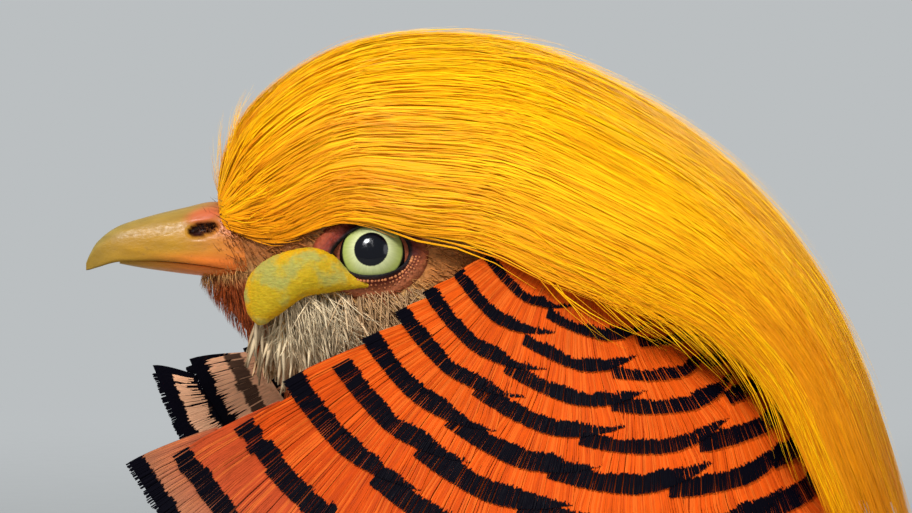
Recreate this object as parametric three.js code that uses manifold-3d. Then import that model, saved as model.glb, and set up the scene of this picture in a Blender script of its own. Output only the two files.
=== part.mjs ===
// A life-size male golden pheasant, standing on both feet with the tip of its long tail on the ground.
// Millimetres, +Z up. The bird faces -X, and its left side is -Y. The origin is under the middle of its length, on the ground.
import * as THREE from "three";
import { mergeVertices } from "three/addons/utils/BufferGeometryUtils.js";
import Module from "manifold-3d";

const wasm = await Module();
wasm.setup();

// Driving dimensions
const EYE_X = -95, EYE_Z = 310; // where the middle of the eye stands, with the feet under x = 0 to 40
const GAP = 0.3; // between touching pieces
const EYEBALL_RADIUS = 6.2, CORNEA_OUT = 15.1; // the ball, and how far from the midline it shows
const EYE_TURN = new THREE.Vector3(-0.14, -0.97, 0.2).normalize(); // the way the left eye looks
const FOOT_X = 22, FOOT_Y = 31; // under the left foot's pad
const TOE_LENGTHS = { inner: 31, middle: 43, outer: 34, hind: 13 };
const TOE_TURNS = { inner: 33, middle: 2, outer: -32, hind: 172 }; // degrees from straight ahead, towards the midline
const CLAW_LENGTH = 8.5;
const TAIL_LENGTH = 690, TAIL_X = 143, TAIL_Z = 157; // the tail's root
const TAIL_SLOPE = 0.19; // how steeply it leaves the rump

const DEG = Math.PI / 180;
const at = (x, y, z) => new THREE.Vector3(x, y, z);
const mix = (a, b, f) => a + (b - a) * f;
const clamp01 = (f) => Math.min(Math.max(f, 0), 1);
const smooth = (f) => clamp01(f) ** 2 * (3 - 2 * clamp01(f));

// Smooth values through evenly spaced rows of numbers, for t from 0 to 1.
function track(rows) {
  const last = rows.length - 1;
  const row = (k) => rows[Math.min(Math.max(k, 0), last)];
  return (t) => {
    const place = clamp01(t) * last;
    const i = Math.min(Math.floor(place), last - 1);
    const f = place - i;
    return rows[0].map((_, c) => {
      const [a, b, d, e] = [row(i - 1)[c], row(i)[c], row(i + 1)[c], row(i + 2)[c]];
      return b + 0.5 * f * (d - a + f * (2 * a - 5 * b + 4 * d - e + f * (3 * b - a - 3 * d + e)));
    });
  };
}

// Geometry from points and faces, where a face is three places in the list of points.
function surface(points, faces) {
  const geometry = new THREE.BufferGeometry().setFromPoints(points);
  return geometry.setIndex(faces.flat());
}

// A closed tube through rings of equally many points, each ring turning the same way round.
function loft(rings) {
  const n = rings[0].length;
  const points = rings.flat();
  const faces = [];
  for (let i = 0; i + 1 < rings.length; i++) {
    for (let k = 0; k < n; k++) {
      const [a, b] = [i * n + k, i * n + ((k + 1) % n)];
      faces.push([a, b, b + n], [a, b + n, a + n]);
    }
  }
  const end = (rings.length - 1) * n;
  for (const [start, flip] of [[0, true], [end, false]]) {
    const middle = points.length;
    points.push(rings[start / n].reduce((sum, p) => sum.add(p), at(0, 0, 0)).divideScalar(n));
    for (let k = 0; k < n; k++) {
      const [a, b] = [start + k, start + ((k + 1) % n)];
      faces.push(flip ? [middle, b, a] : [middle, a, b]);
    }
  }
  return facingOut(surface(points, faces));
}

// A closed plate of rows by columns, where place(i, j) gives its two faces' points, split alike on both.
function plate(rows, columns, place) {
  const points = [];
  const faces = [];
  const index = (i, j, side) => (i * columns + j) * 2 + side;
  for (let i = 0; i < rows; i++) {
    for (let j = 0; j < columns; j++) points.push(...place(i / (rows - 1), (2 * j) / (columns - 1) - 1));
  }
  const quad = (a, b, c, d) => faces.push([a, b, c], [a, c, d]);
  for (let i = 0; i + 1 < rows; i++) {
    for (let j = 0; j + 1 < columns; j++) {
      quad(index(i, j, 0), index(i, j + 1, 0), index(i + 1, j + 1, 0), index(i + 1, j, 0));
      faces.push([index(i, j, 1), index(i + 1, j + 1, 1), index(i, j + 1, 1)]);
      faces.push([index(i, j, 1), index(i + 1, j, 1), index(i + 1, j + 1, 1)]);
    }
    quad(index(i, 0, 1), index(i, 0, 0), index(i + 1, 0, 0), index(i + 1, 0, 1));
    const j = columns - 1;
    quad(index(i, j, 0), index(i, j, 1), index(i + 1, j, 1), index(i + 1, j, 0));
  }
  for (let j = 0; j + 1 < columns; j++) {
    const i = rows - 1;
    quad(index(0, j, 1), index(0, j + 1, 1), index(0, j + 1, 0), index(0, j, 0));
    quad(index(i, j, 0), index(i, j + 1, 0), index(i, j + 1, 1), index(i, j, 1));
  }
  return facingOut(surface(points, faces));
}

// Turns a closed geometry's faces round if they point in.
function facingOut(geometry) {
  const p = geometry.attributes.position;
  const index = geometry.index.array;
  const [a, b, c] = [at(0, 0, 0), at(0, 0, 0), at(0, 0, 0)];
  let volume = 0;
  for (let i = 0; i < index.length; i += 3) {
    [a, b, c].forEach((v, k) => v.fromBufferAttribute(p, index[i + k]));
    volume += a.dot(b.cross(c));
  }
  if (volume < 0) {
    for (let i = 0; i < index.length; i += 3) [index[i], index[i + 1]] = [index[i + 1], index[i]];
  }
  return geometry;
}

// three.js geometry to a solid for cutting and joining, and back.
function toSolid(geometry) {
  const bare = geometry.clone();
  for (const name of ["normal", "uv"]) bare.deleteAttribute(name);
  const merged = mergeVertices(bare, 1e-4);
  const mesh = new wasm.Mesh({
    numProp: 3,
    vertProperties: new Float32Array(merged.attributes.position.array),
    triVerts: new Uint32Array(merged.index.array),
  });
  return new wasm.Manifold(mesh);
}
function toGeometry(solid) {
  const { vertProperties, triVerts } = largest(solid).getMesh();
  const geometry = new THREE.BufferGeometry();
  geometry.setAttribute("position", new THREE.BufferAttribute(new Float32Array(vertProperties), 3));
  return geometry.setIndex(new THREE.BufferAttribute(new Uint32Array(triVerts), 1));
}
const largest = (solid) => solid.decompose().reduce((a, b) => (b.volume() > a.volume() ? b : a));
const fuse = (geometries) => geometries.map(toSolid).reduce((a, b) => a.add(b));
const cut = (solid, geometries) => geometries.map(toSolid).reduce((a, b) => a.subtract(b), solid);

// The neck and trunk: a curved tube from inside the head to the tail's root.
// Each row is a station's middle, ahead of or behind the eye and above it, then its depth and its width, halved.
const trunkAt = track([
  [17, -3, 8, 7],
  [13, -17, 24.5, 14.5],
  [18, -29, 29.5, 20],
  [24, -46, 33, 26],
  [33, -65, 41, 35],
  [54, -88, 49, 43],
  [88, -108, 54, 47.5],
  [126, -122, 53, 47.5],
  [163, -134, 44, 40],
  [198, -144, 30, 29],
  [226, -151, 22, 22],
  [238, -153.5, 18, 18],
]);
const NECK_END = 0.36; // the share of the tube that is neck
const TUBE_LENGTH = 290;

// A point of the trunk's surface, raised by lift: angle 0 is the back, and 90 degrees the right side.
function trunk(s, angle, lift = 0) {
  const [x, z, depth, width] = trunkAt(s);
  const [ax, az] = trunkAt(s - 0.01);
  const [bx, bz] = trunkAt(s + 0.01);
  const run = Math.hypot(bx - ax, bz - az);
  const up = (depth + lift) * Math.cos(angle);
  return at(EYE_X + x - (up * (bz - az)) / run, (width + lift) * Math.sin(angle), EYE_Z + z + (up * (bx - ax)) / run);
}
const TRUNK_SIDES = 20;
function trunkPiece(from, to, stations, lift = 0) {
  const rings = [];
  for (let i = 0; i <= stations; i++) {
    const s = mix(from, to, i / stations);
    rings.push(Array.from({ length: TRUNK_SIDES }, (_, k) => trunk(s, (k * 2 * Math.PI) / TRUNK_SIDES, lift)));
  }
  return loft(rings);
}

// The head: each row is ahead of or behind the eye, the top and the bottom above it, and half the width.
const headAt = track([
  [-25.5, 4.2, -4.4, 2.6],
  [-22, 7.4, -9.2, 5.2],
  [-17, 10.8, -15.0, 7.8],
  [-10, 14.2, -19.5, 10.8],
  [-2, 16.4, -22.0, 13.0],
  [7, 17.2, -23.0, 14.2],
  [16, 16.2, -23.0, 13.8],
  [24, 12.8, -21.5, 12.0],
  [30, 7.5, -17.5, 9.0],
  [33.5, 1.0, -11.0, 5.0],
]);
const HEAD_SIDES = 16;
function headSolid(lift = 0) {
  const stations = 12;
  const rings = [];
  for (let i = 0; i <= stations; i++) {
    const [x, top, bottom, width] = headAt(i / stations);
    const [middle, half] = [(top + bottom) / 2, (top - bottom) / 2 + lift];
    rings.push(Array.from({ length: HEAD_SIDES }, (_, k) => {
      const angle = (k * 2 * Math.PI) / HEAD_SIDES;
      const y = (width + lift) * Math.sign(Math.sin(angle)) * Math.abs(Math.sin(angle)) ** 0.85;
      return at(EYE_X + x + lift * mix(-1, 1, i / stations), y, EYE_Z + middle + half * Math.cos(angle));
    }));
  }
  return loft(rings);
}

// The bill's two halves: each row is a place before the eye, the top, the bottom and half the width.
const UPPER_BILL = [
  [-42.9, -1.6, -2.9, 0.35],
  [-41.4, 0.5, -2.5, 1.1],
  [-38, 2.8, -1.6, 2.2],
  [-33, 4.8, -1.5, 3.4],
  [-28, 6.0, -1.8, 4.5],
  [-23.5, 6.9, -2.4, 5.5],
  [-19, 6.0, -3.1, 6.4],
  [-16, 2.4, -3.6, 6.6],
];
const LOWER_BILL = [
  [-37.8, -2.1, -2.5, 0.8],
  [-34, -2.0, -3.2, 2.2],
  [-29, -2.3, -3.9, 3.4],
  [-24, -2.9, -4.5, 4.6],
  [-19.5, -3.6, -5.2, 5.6],
  [-16.6, -4.1, -5.6, 5.6],
];
// One half of the bill: an arch over its flat biting side, upside down for the lower half.
function billSolid(rows, lower, lift = 0) {
  const billAt = track(rows);
  const [stations, sides] = [rows.length + 2, 9];
  const rings = [];
  for (let i = 0; i <= stations; i++) {
    const [x, top, bottom, width] = billAt(i / stations);
    const [flat, round] = lower ? [top + lift, bottom - lift] : [bottom - lift, top + lift];
    rings.push(Array.from({ length: sides }, (_, k) => {
      const angle = mix(-90, 90, k / (sides - 1)) * DEG;
      const rise = Math.max(Math.cos(angle), 0) ** 0.8;
      return at(EYE_X + x + lift * mix(-1, 1, i / stations), (width + lift) * Math.sin(angle), EYE_Z + mix(flat, round, rise));
    }));
  }
  return loft(rings);
}

// A ball that is stretched along the axes and turned about the Y axis.
function ball(centre, radii, turn = 0, sides = 12) {
  const geometry = new THREE.SphereGeometry(1, sides, Math.round(sides * 0.6));
  geometry.scale(radii.x, radii.y, radii.z).rotateY(turn);
  return geometry.translate(centre.x, centre.y, centre.z);
}

// The left eye's ball, and the ring of lids about it.
const eyeMiddle = at(EYE_X, -CORNEA_OUT, EYE_Z).addScaledVector(EYE_TURN, -EYEBALL_RADIUS);
const eyeball = (radius, sides) => ball(eyeMiddle, at(radius, radius, radius), 0, sides);
const LID_RADIUS = 4.9, LID_THICKNESS = 0.95, LID_STRETCH = 1.14;
function lids(grow = 0) {
  const ring = new THREE.TorusGeometry(LID_RADIUS, LID_THICKNESS + grow, 5, 12).scale(LID_STRETCH, 0.88, 1);
  ring.applyQuaternion(new THREE.Quaternion().setFromUnitVectors(at(0, 0, 1), EYE_TURN));
  const out = eyeMiddle.clone().addScaledVector(EYE_TURN, EYEBALL_RADIUS - 1.9);
  return ring.translate(out.x, out.y, out.z);
}

// The bare yellow lobe under the left eye: each row is a place along it, out from the midline, and its half sizes.
function wattleSolid() {
  const wattleAt = track([
    [-18.7, -8.4, 9.2, 0.8, 0.8],
    [-16.8, -7.8, 9.9, 3.3, 1.6],
    [-13.5, -6.2, 11.2, 5.4, 2.4],
    [-9.3, -4.4, 12.5, 4.7, 2.3],
    [-5.2, -4.8, 13.1, 2.6, 1.6],
    [-0.6, -5.6, 13.6, 0.7, 0.7],
  ]);
  const [stations, sides] = [6, 8];
  const rings = [];
  for (let i = 0; i <= stations; i++) {
    const [x, z, out, tall, deep] = wattleAt(i / stations);
    rings.push(Array.from({ length: sides }, (_, k) => {
      const angle = (k * 2 * Math.PI) / sides;
      return at(EYE_X + x + 0.35 * tall * Math.cos(angle), -out - deep * Math.sin(angle), EYE_Z + z + tall * Math.cos(angle));
    }));
  }
  return loft(rings);
}

// The crest's outer surface: it runs from the bill (t = 0) over the crown to its tips on the nape (t = 1).
// Each row is the middle line's place and height, the side edge's place and height, and the edge's distance out.
const crestAt = track([
  [-23.5, 8, -22.5, 3.2, 4.8],
  [-18.5, 20.5, -14.5, 1.2, 9.5],
  [-5.5, 29.8, -4, 4.8, 13.8],
  [10, 32.4, 7, 1.6, 17.2],
  [26, 30, 17, -2.5, 19],
  [42, 22, 28, -8, 21],
  [56, 11.5, 40, -12.5, 22.5],
  [67, -2, 51, -16.5, 22.5],
  [74.5, -17, 60, -24, 21],
  [79, -31, 66, -33.5, 19.5],
  [82.5, -44, 71, -42, 18],
]);
// side is -1 at the left edge, 0 on the middle line and 1 at the right edge.
function crest(t, side, lift = 0) {
  const [mx, mz, ex, ez, out] = crestAt(t);
  const angle = (side * Math.PI) / 2;
  const fall = 1 - Math.cos(angle);
  const [ax, az] = crestAt(t - 0.01);
  const [bx, bz] = crestAt(t + 0.01);
  const run = Math.hypot(bx - ax, bz - az);
  const up = lift * Math.cos(angle);
  const x = mix(mx, ex, fall) - (up * (bz - az)) / run;
  const z = mix(mz, ez, fall) + (up * (bx - ax)) / run;
  return at(EYE_X + x, (out + lift) * Math.sin(angle), EYE_Z + z);
}

// The cape: a fan that spreads from the nape over each side of the neck. reach is the distance from the nape's
// point in side view, and side runs from -1 at the left front edge over 0 on the back to 1 at the right.
const NAPE_X = 42, NAPE_Z = 15, CAPE_ROOT = 22, CAPE_REACH = 93;
const CAPE_FRONTS = [211.5, 206]; // the left and the right front edge's direction: the right one lies further forward
const capeAt = track([
  // the direction of its middle on the back, how far out it stands at its widest, and at its front edge
  [276, 13.5, 13.5],
  [297, 21, 17],
  [299, 30, 21],
  [304, 39, 25],
  [312, 47, 29],
]);
function capeBase(reach, side) {
  const [back, widest, front] = capeAt((reach - CAPE_ROOT) / (CAPE_REACH - CAPE_ROOT));
  const u = Math.abs(side);
  const angle = mix(back, CAPE_FRONTS[side < 0 ? 0 : 1], 1 - Math.cos((u * Math.PI) / 2)) * DEG;
  const round = Math.min(u / 0.6, 1) * (Math.PI / 2);
  const out = mix(widest, front, smooth((u - 0.6) / 0.4));
  return at(EYE_X + NAPE_X + reach * Math.cos(angle), Math.sign(side) * out * Math.sin(round), EYE_Z + NAPE_Z + reach * Math.sin(angle));
}
function cape(reach, side, lift = 0) {
  const along = capeBase(reach + 0.5, side).sub(capeBase(reach - 0.5, side));
  const across = capeBase(reach, side + 0.01).sub(capeBase(reach, side - 0.01));
  return capeBase(reach, side).addScaledVector(along.cross(across).normalize(), lift);
}

// The tail's middle line, by the distance along it, and a place across it: each half slopes down like a roof, which
// grows steep along the root's solid core, up to where the feathers start in it.
const TAIL_BOW = (TAIL_Z - 1.2 - TAIL_SLOPE * TAIL_LENGTH * 0.974) / (TAIL_LENGTH * 0.974) ** 2;
const ROOF_SLOPE = 0.9, ROOF_ROUND = 6, TAIL_CORE = 120, TAIL_DEEP = 17, TAIL_FEATHERS = 60;
function tail(along, across, lift = 0) {
  const x = along * 0.974;
  const steep = TAIL_SLOPE + 2 * TAIL_BOW * x;
  const roof = -ROOF_SLOPE * smooth(along / TAIL_FEATHERS) * (Math.hypot(across, ROOF_ROUND) - ROOF_ROUND);
  return at(TAIL_X + x + lift * steep, across, TAIL_Z - TAIL_SLOPE * x - TAIL_BOW * x * x + roof + lift);
}

// One flat feather or lock over a surface, along a path of places on it. Its outline gives half its width in shares
// of size.half from root to tip. tilt raises one edge, so that neighbours lie over each other like shingles, and sink
// is how deep the root goes in.
const VANE = [0.34, 0.78, 1, 0.94, 0.4];
const LOCK = [0.95, 1, 0.9, 0.66, 0.08];
const valueAt = (value, u) => (typeof value === "function" ? value(u) : value);
function feather(onto, path, size) {
  const { half, part, outline, rows, lift, rise = 0, sink = 0, tilt = 0, ridge = 0, thick = 0.6, gather = 1.35, columns = 3 } = size;
  const share = track(outline.map((v) => [v]));
  return plate(rows, columns, (i, j) => {
    const f = 1 - (1 - i) ** gather;
    const [u, v] = path(f);
    const perUnit = onto(u, v + 1e-3).distanceTo(onto(u, v - 1e-3)) / 2e-3;
    const place = v + j * share(f)[0] * (part || valueAt(half, u) / perUnit);
    const height = valueAt(lift, u) + rise * f + tilt * j + ridge * (1 - j * j) - (i ? 0 : sink);
    const deep = (thick * mix(1.1, 0.75, f)) / 2;
    return [onto(u, place, height + deep), onto(u, place, height - deep)];
  });
}
const straight = (from, to) => (f) => [mix(from[0], to[0], f), mix(from[1], to[1], f)];

// Seeded draws, so that the feathers lie alike each time.
let seed = 20;
function draw() {
  seed = (seed * 1664525 + 1013904223) >>> 0;
  return seed / 4294967296;
}
const jitter = (size) => (draw() * 2 - 1) * size;

// The crest: a core over the crown and nape, with tiers of pointed locks whose tips lie over the next tier's roots.
const CREST_TIERS = [
  // where the tier's roots and tips are, and how many locks lie side by side
  [0.02, 0.42, 6],
  [0.2, 0.64, 8],
  [0.38, 0.83, 10],
  [0.56, 0.98, 11],
];
const CREST_CORE = 0.64, CREST_TOP = -2.6, CREST_DEEP = 3.4; // how far along the core goes, its top, and its depth
function crestSolid() {
  const parts = [plate(7, 9, (i, j) => {
    const [t, side] = [i * CREST_CORE, j * 0.97];
    return [crest(t, side, CREST_TOP), crest(t, side, CREST_TOP - mix(CREST_DEEP, 1.6, Math.max(i, Math.abs(j))))];
  })];
  for (const [root, tip, count] of CREST_TIERS) {
    for (let k = 0; k < count; k++) {
      const side = (((k + 0.5) / count) * 2 - 1) * 0.98;
      const size = { part: 0.46 * (1.96 / count), outline: LOCK, rows: 5, lift: -1.9, rise: 3, sink: 1.8, thick: 0.65, gather: 1.1, columns: 2 };
      parts.push(feather(crest, straight([root + jitter(0.01), side], [Math.min(tip + jitter(0.03), 1), side]), size));
    }
  }
  return fuse(parts);
}

// The cape: a yoke about the nape, with tiers of vanes over each other, the longest beneath.
const CAPE_TIERS = [
  // where the tips are, where the roots are, and how many vanes
  [91, 31, 15],
  [75, 30, 12],
  [58, 29, 9],
];
const CAPE_YOKE = 38, CAPE_STEP = 2.2, CAPE_TILT = 0.6;
const capeTier = (tier) => (reach) => -1 + tier * CAPE_STEP * smooth((reach - 24) / 12);
// The vanes' places, evenly spread along the cape's edge at one reach.
function spread(count, reach) {
  const steps = 200;
  const run = [0];
  const sides = Array.from({ length: steps + 1 }, (_, i) => (i / steps) * 2 - 1);
  for (let i = 1; i <= steps; i++) run.push(run[i - 1] + capeBase(reach, sides[i]).distanceTo(capeBase(reach, sides[i - 1])));
  const width = run[steps] / count;
  return { width, places: Array.from({ length: count }, (_, k) => sides[run.findIndex((r) => r >= (k + 0.5) * width)]) };
}
function capeSolid() {
  const parts = [plate(3, 21, (i, j) => {
    const reach = mix(CAPE_ROOT, CAPE_YOKE, i);
    return [cape(reach, j, mix(1, 4.5, i)), cape(reach, j, -2.4)];
  })];
  CAPE_TIERS.forEach(([tip, root, count], tier) => {
    const { width, places } = spread(count, tip);
    places.forEach((side, k) => {
      const middle = k === (count - 1) / 2;
      const base = capeTier(tier);
      const half = (u) => (width * 0.53 * u) / tip;
      const tilt = middle ? 0 : -CAPE_TILT * Math.sign(side);
      const size = { half, outline: [1, 1, 1, 0.95, 0.45], rows: tier ? 4 : 5, lift: (u) => base(u) - (middle ? CAPE_TILT : 0), tilt };
      parts.push(feather(cape, straight([root, side], [tip + jitter(1.5), side]), size));
    });
  });
  return fuse(parts);
}
// All the room that the cape takes, for what lies over it.
const capeRoom = () => plate(9, 25, (i, j) => {
  const reach = mix(CAPE_ROOT - 1, CAPE_REACH + 2, i);
  const top = reach < 61 ? mix(1, 4.8, clamp01((reach - CAPE_ROOT) / 16)) : reach < 78 ? 2.7 : 1;
  return [cape(reach, j * 1.04, top + GAP), cape(reach, j * 1.04, -7)];
});

// The left wing, folded: places are along the trunk and round it from the back, in degrees.
const onWing = (s, degrees, lift = 0) => trunk(s, -degrees * DEG, lift);
const WING_TIERS = [
  // roots from the lowest to the uppermost, tips likewise, how many vanes, half a vane's width and lift
  { roots: [[0.63, 95], [0.6, 84]], tips: [[0.955, 74], [0.9, 60]], count: 4, half: 6, lift: 1.3, step: 0.62, tilt: 0.1, thick: 0.5, rows: 5, columns: 2 },
  { roots: [[0.585, 97], [0.56, 46]], tips: [[0.865, 83], [0.79, 36]], count: 7, half: 8.6, lift: 5.2, step: 0, tilt: 1.25, rows: 4 },
  { roots: [[0.51, 52], [0.49, 34]], tips: [[0.81, 44], [0.76, 26]], count: 3, half: 8.5, lift: 7.6, step: 0, tilt: 1.4, rows: 5 },
  { roots: [[0.53, 103], [0.52, 62]], tips: [[0.685, 98], [0.665, 62]], count: 5, half: 7.6, lift: 8.4, step: 0, tilt: 0.9, rows: 4, sink: 3, columns: 2 },
  { roots: [[0.47, 101], [0.465, 58]], tips: [[0.59, 102], [0.57, 57]], count: 4, half: 8.4, lift: 10.4, step: 0, tilt: 0.8, rows: 4, sink: 5, columns: 2 },
];
const WING_CORE = [0.44, 0.6, 36, 110]; // from and to along the trunk, and round it
function wingSolid() {
  const [front, back, top, bottom] = WING_CORE;
  const parts = [plate(5, 7, (i, j) => {
    const s = mix(front, back, i);
    const round = Math.sqrt(1 - (Math.abs(j) * 0.98) ** 2.5);
    const trim = Math.sqrt(1 - (Math.abs(i * 2 - 1) * 0.8) ** 4);
    const degrees = (top + bottom) / 2 + (j * trim * (bottom - top)) / 2;
    return [onWing(s, degrees, 1.2 + 6 * round * Math.sin(mix(0.12, 0.66, i) * Math.PI)), onWing(s, degrees, -3)];
  })];
  for (const { roots, tips, count, step, lift, ...size } of WING_TIERS) {
    for (let k = 0; k < count; k++) {
      const f = k / (count - 1);
      const from = [0, 1].map((c) => mix(roots[0][c], roots[1][c], f));
      const to = [0, 1].map((c) => mix(tips[0][c], tips[1][c], f));
      to[0] += jitter(0.004);
      parts.push(feather(onWing, straight(from, to), { ...size, outline: VANE, lift: lift + step * k, rise: -0.3 }));
    }
  }
  return fuse(parts);
}

// The tail: nine vanes a side, shorter and lower from the middle out, with narrow feathers over its root.
const TAIL_LENGTHS = [1, 0.8, 0.64, 0.51, 0.4, 0.32, 0.26, 0.21, 0.18];
const COVERTS = [[2.9, 5, 185], [8.3, 12.5, 165], [12.6, 19, 140], [15.4, 24, 120]]; // out at the root and tip, and length
// The core's height over the tail's middle line.
function coreTop(along, across) {
  return mix(TAIL_DEEP, 0.6, smooth(along / TAIL_CORE)) * Math.sqrt(Math.max(1 - (across / 19) ** 2, 0.06));
}
function tailSolid() {
  const parts = [plate(5, 9, (i, j) => {
    const along = mix(GAP, TAIL_CORE, i);
    const across = j * mix(16.5, 20, smooth(i));
    const bottom = mix(TAIL_DEEP, 7, smooth(i)) * Math.sqrt(1 - (j * 0.94) ** 2);
    return [tail(along, across, coreTop(along, across * (16.5 / 20))), tail(along, across, -bottom)];
  })];
  TAIL_LENGTHS.forEach((share, k) => {
    for (const side of [-1, 1]) {
      const half = k ? 12 - 0.4 * k : 14;
      const outline = k ? [0.6, 0.9, 1, 1, 0.9, 0.7, 0.25] : [0.6, 0.86, 1, 1, 0.92, 0.8, 0.64, 0.45, 0.16];
      const wide = track(outline.map((v) => [v]));
      // The middle pair lies one over the other, and each other vane has its inner edge along the middle line.
      const path = (f) => [mix(TAIL_FEATHERS, TAIL_LENGTH * share, f), side * (k ? half * wide(f)[0] + 0.4 + 1.3 * (k - 1) * f : 0.4)];
      const lift = k ? -1.4 - 0.95 * k : side < 0 ? -0.4 : -1.3;
      parts.push(feather(tail, path, { half, outline, rows: k ? 5 : 9, columns: k ? 2 : 3, lift, thick: 0.65, gather: 1.1 }));
    }
  });
  for (const side of [-1, 1]) {
    COVERTS.forEach(([near, far, long]) => {
      const lift = (u) => coreTop(u, mix(near, far, u / long)) + mix(0.1, 1.4, smooth(u / 30));
      const size = { half: 2.7, outline: [0.9, 1, 1, 0.8, 0.15], rows: 7, lift, thick: 0.8, columns: 2 };
      parts.push(feather(tail, straight([6, side * near], [long + jitter(8), side * far]), size));
    });
  }
  return fuse(parts);
}

// The legs: rows of a place from the foot's pad, then half the thickness along X and along Y.
const THIGH = [
  [-4, 2, 172, 27, 11],
  [-2, 0, 150, 25, 14],
  [6, -1, 127, 17, 11.5],
  [15, 0, 106, 10, 8.2],
  [21, 1, 91, 5.6, 5.2],
];
const SHANK = [
  [22.5, 1, 90, 4.6, 4.2],
  [22, 1, 83, 5.0, 4.4],
  [19, 1, 72, 3.5, 3.0],
  [14, 0.7, 54, 3.1, 2.7],
  [9, 0.4, 36, 3.1, 2.8],
  [4, 0.1, 18, 3.6, 3.6],
  [1, 0, 8, 4.4, 4.6],
];
const [THIGH_SIDES, SHANK_SIDES, SHANK_SCUTES] = [12, 7, 9];
const SPUR_HEIGHT = 27;
function limb(rows, sides, stations, swell = () => 0) {
  const limbAt = track(rows);
  const rings = stations.map((t) => {
    const [x, y, z, deep, wide] = limbAt(t);
    return Array.from({ length: sides }, (_, k) => {
      const angle = (k * 2 * Math.PI) / sides;
      const grow = 1 + swell(t, angle);
      return at(FOOT_X + x + deep * grow * Math.cos(angle), -FOOT_Y + y + wide * grow * Math.sin(angle), z);
    });
  });
  return loft(rings);
}
const evenly = (count) => Array.from({ length: count + 1 }, (_, i) => i / count);

// Scutes down the front of the shank: each stands a little proud of the next.
function shankSolid() {
  const steps = [0];
  for (let i = 0; i < SHANK_SCUTES; i++) steps.push(0.08 + (i / SHANK_SCUTES) * 0.9, 0.08 + ((i + 0.82) / SHANK_SCUTES) * 0.9);
  steps.push(1);
  const proud = (t, angle) => {
    const share = ((t - 0.08) / 0.9) * SHANK_SCUTES;
    return t > 0.07 && t < 0.99 ? 0.16 * (share - Math.floor(share + 1e-6)) * Math.max(-Math.cos(angle), 0) : 0;
  };
  return limb(SHANK, SHANK_SIDES, steps, proud);
}
function spurSolid() {
  const [deep, length] = [2.0, 7];
  const cone = new THREE.ConeGeometry(deep, length, 7, 1).rotateZ(-Math.PI / 2 - 0.35);
  return cone.translate(FOOT_X + 7 + length / 2 + 1.2, -FOOT_Y + 2.2, SPUR_HEIGHT + 1.5);
}

// A toe runs from the pad along the ground, knuckle by knuckle, with its sole flat on it.
function toeAt(name, f) {
  const angle = TOE_TURNS[name] * DEG;
  const reach = mix(2, TOE_LENGTHS[name], f);
  const hind = name === "hind";
  const radius = mix(hind ? 3 : 3.5, hind ? 1.9 : 2.1, f);
  const height = hind ? mix(9, radius * 0.86, f) : radius * 0.86 + 1.6 * (1 - f) ** 2;
  return { middle: at(FOOT_X - reach * Math.cos(angle), -FOOT_Y + reach * Math.sin(angle), height), radius, angle };
}
const TOE_SIDES = 6;
function toeRing({ middle, radius, angle }) {
  return Array.from({ length: TOE_SIDES }, (_, k) => {
    const turn = ((k + 0.5) * 2 * Math.PI) / TOE_SIDES;
    const side = radius * Math.sin(turn);
    return at(middle.x + side * Math.sin(angle), middle.y + side * Math.cos(angle), middle.z + radius * Math.cos(turn));
  });
}
function toeSolid(name) {
  const knuckles = name === "hind" ? 1 : 3;
  const rings = evenly(knuckles * 2).map((f) => {
    const toe = toeAt(name, f);
    toe.radius *= 1 + 0.1 * Math.cos(f * knuckles * 2 * Math.PI);
    return toeRing(toe);
  });
  return loft(rings);
}
function clawSolid(name) {
  const { middle, radius, angle } = toeAt(name, 1);
  const long = name === "hind" ? CLAW_LENGTH * 0.75 : CLAW_LENGTH;
  const rings = evenly(3).map((f) => {
    const reach = GAP + f * long;
    const r = mix(radius * 0.8, 0.25, f ** 1.2);
    const height = mix(middle.z + 0.15, 0.45, f ** 1.6) + 0.5 * Math.sin(f * Math.PI);
    const place = at(middle.x - reach * Math.cos(angle), middle.y + reach * Math.sin(angle), Math.max(height, r + 0.05));
    return toeRing({ middle: place, radius: r, angle });
  });
  return loft(rings);
}

// The ground, to cut flats into what stands on it.
const ground = new THREE.BoxGeometry(2000, 400, 20).translate(300, 0, -10);

const look = (color, roughness = 0.6, metalness = 0) => new THREE.MeshStandardMaterial({ color, roughness, metalness });
const LOOKS = {
  golden: look(0xf7a80c),
  orange: look(0xe8641c),
  scarlet: look(0xb71a12),
  face: look(0xb98a5c, 0.8),
  horn: look(0xd9b25a, 0.35),
  wattle: look(0xe2cc2a, 0.5),
  eye: look(0xdbe08c, 0.08),
  chestnut: look(0x7a3417, 0.7),
  tail: look(0x8a5f33, 0.7),
  leg: look(0xc9a55c, 0.55),
  claw: look(0x6d5a44, 0.4),
};

const bird = new THREE.Group();
function node(name, solid, material) {
  const mesh = new THREE.Mesh(toGeometry(solid), material);
  mesh.name = name;
  bird.add(mesh);
  return mesh;
}
// The left piece as made, and its mirror image on the right.
function pair(name, solid, material) {
  node(name + "_left", solid, material);
  node(name + "_right", solid, material).scale.y = -1;
}
const mirrored = (geometry) => facingOut(geometry.clone().scale(1, -1, 1));
const both = (geometry) => [geometry, mirrored(geometry)];

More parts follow.
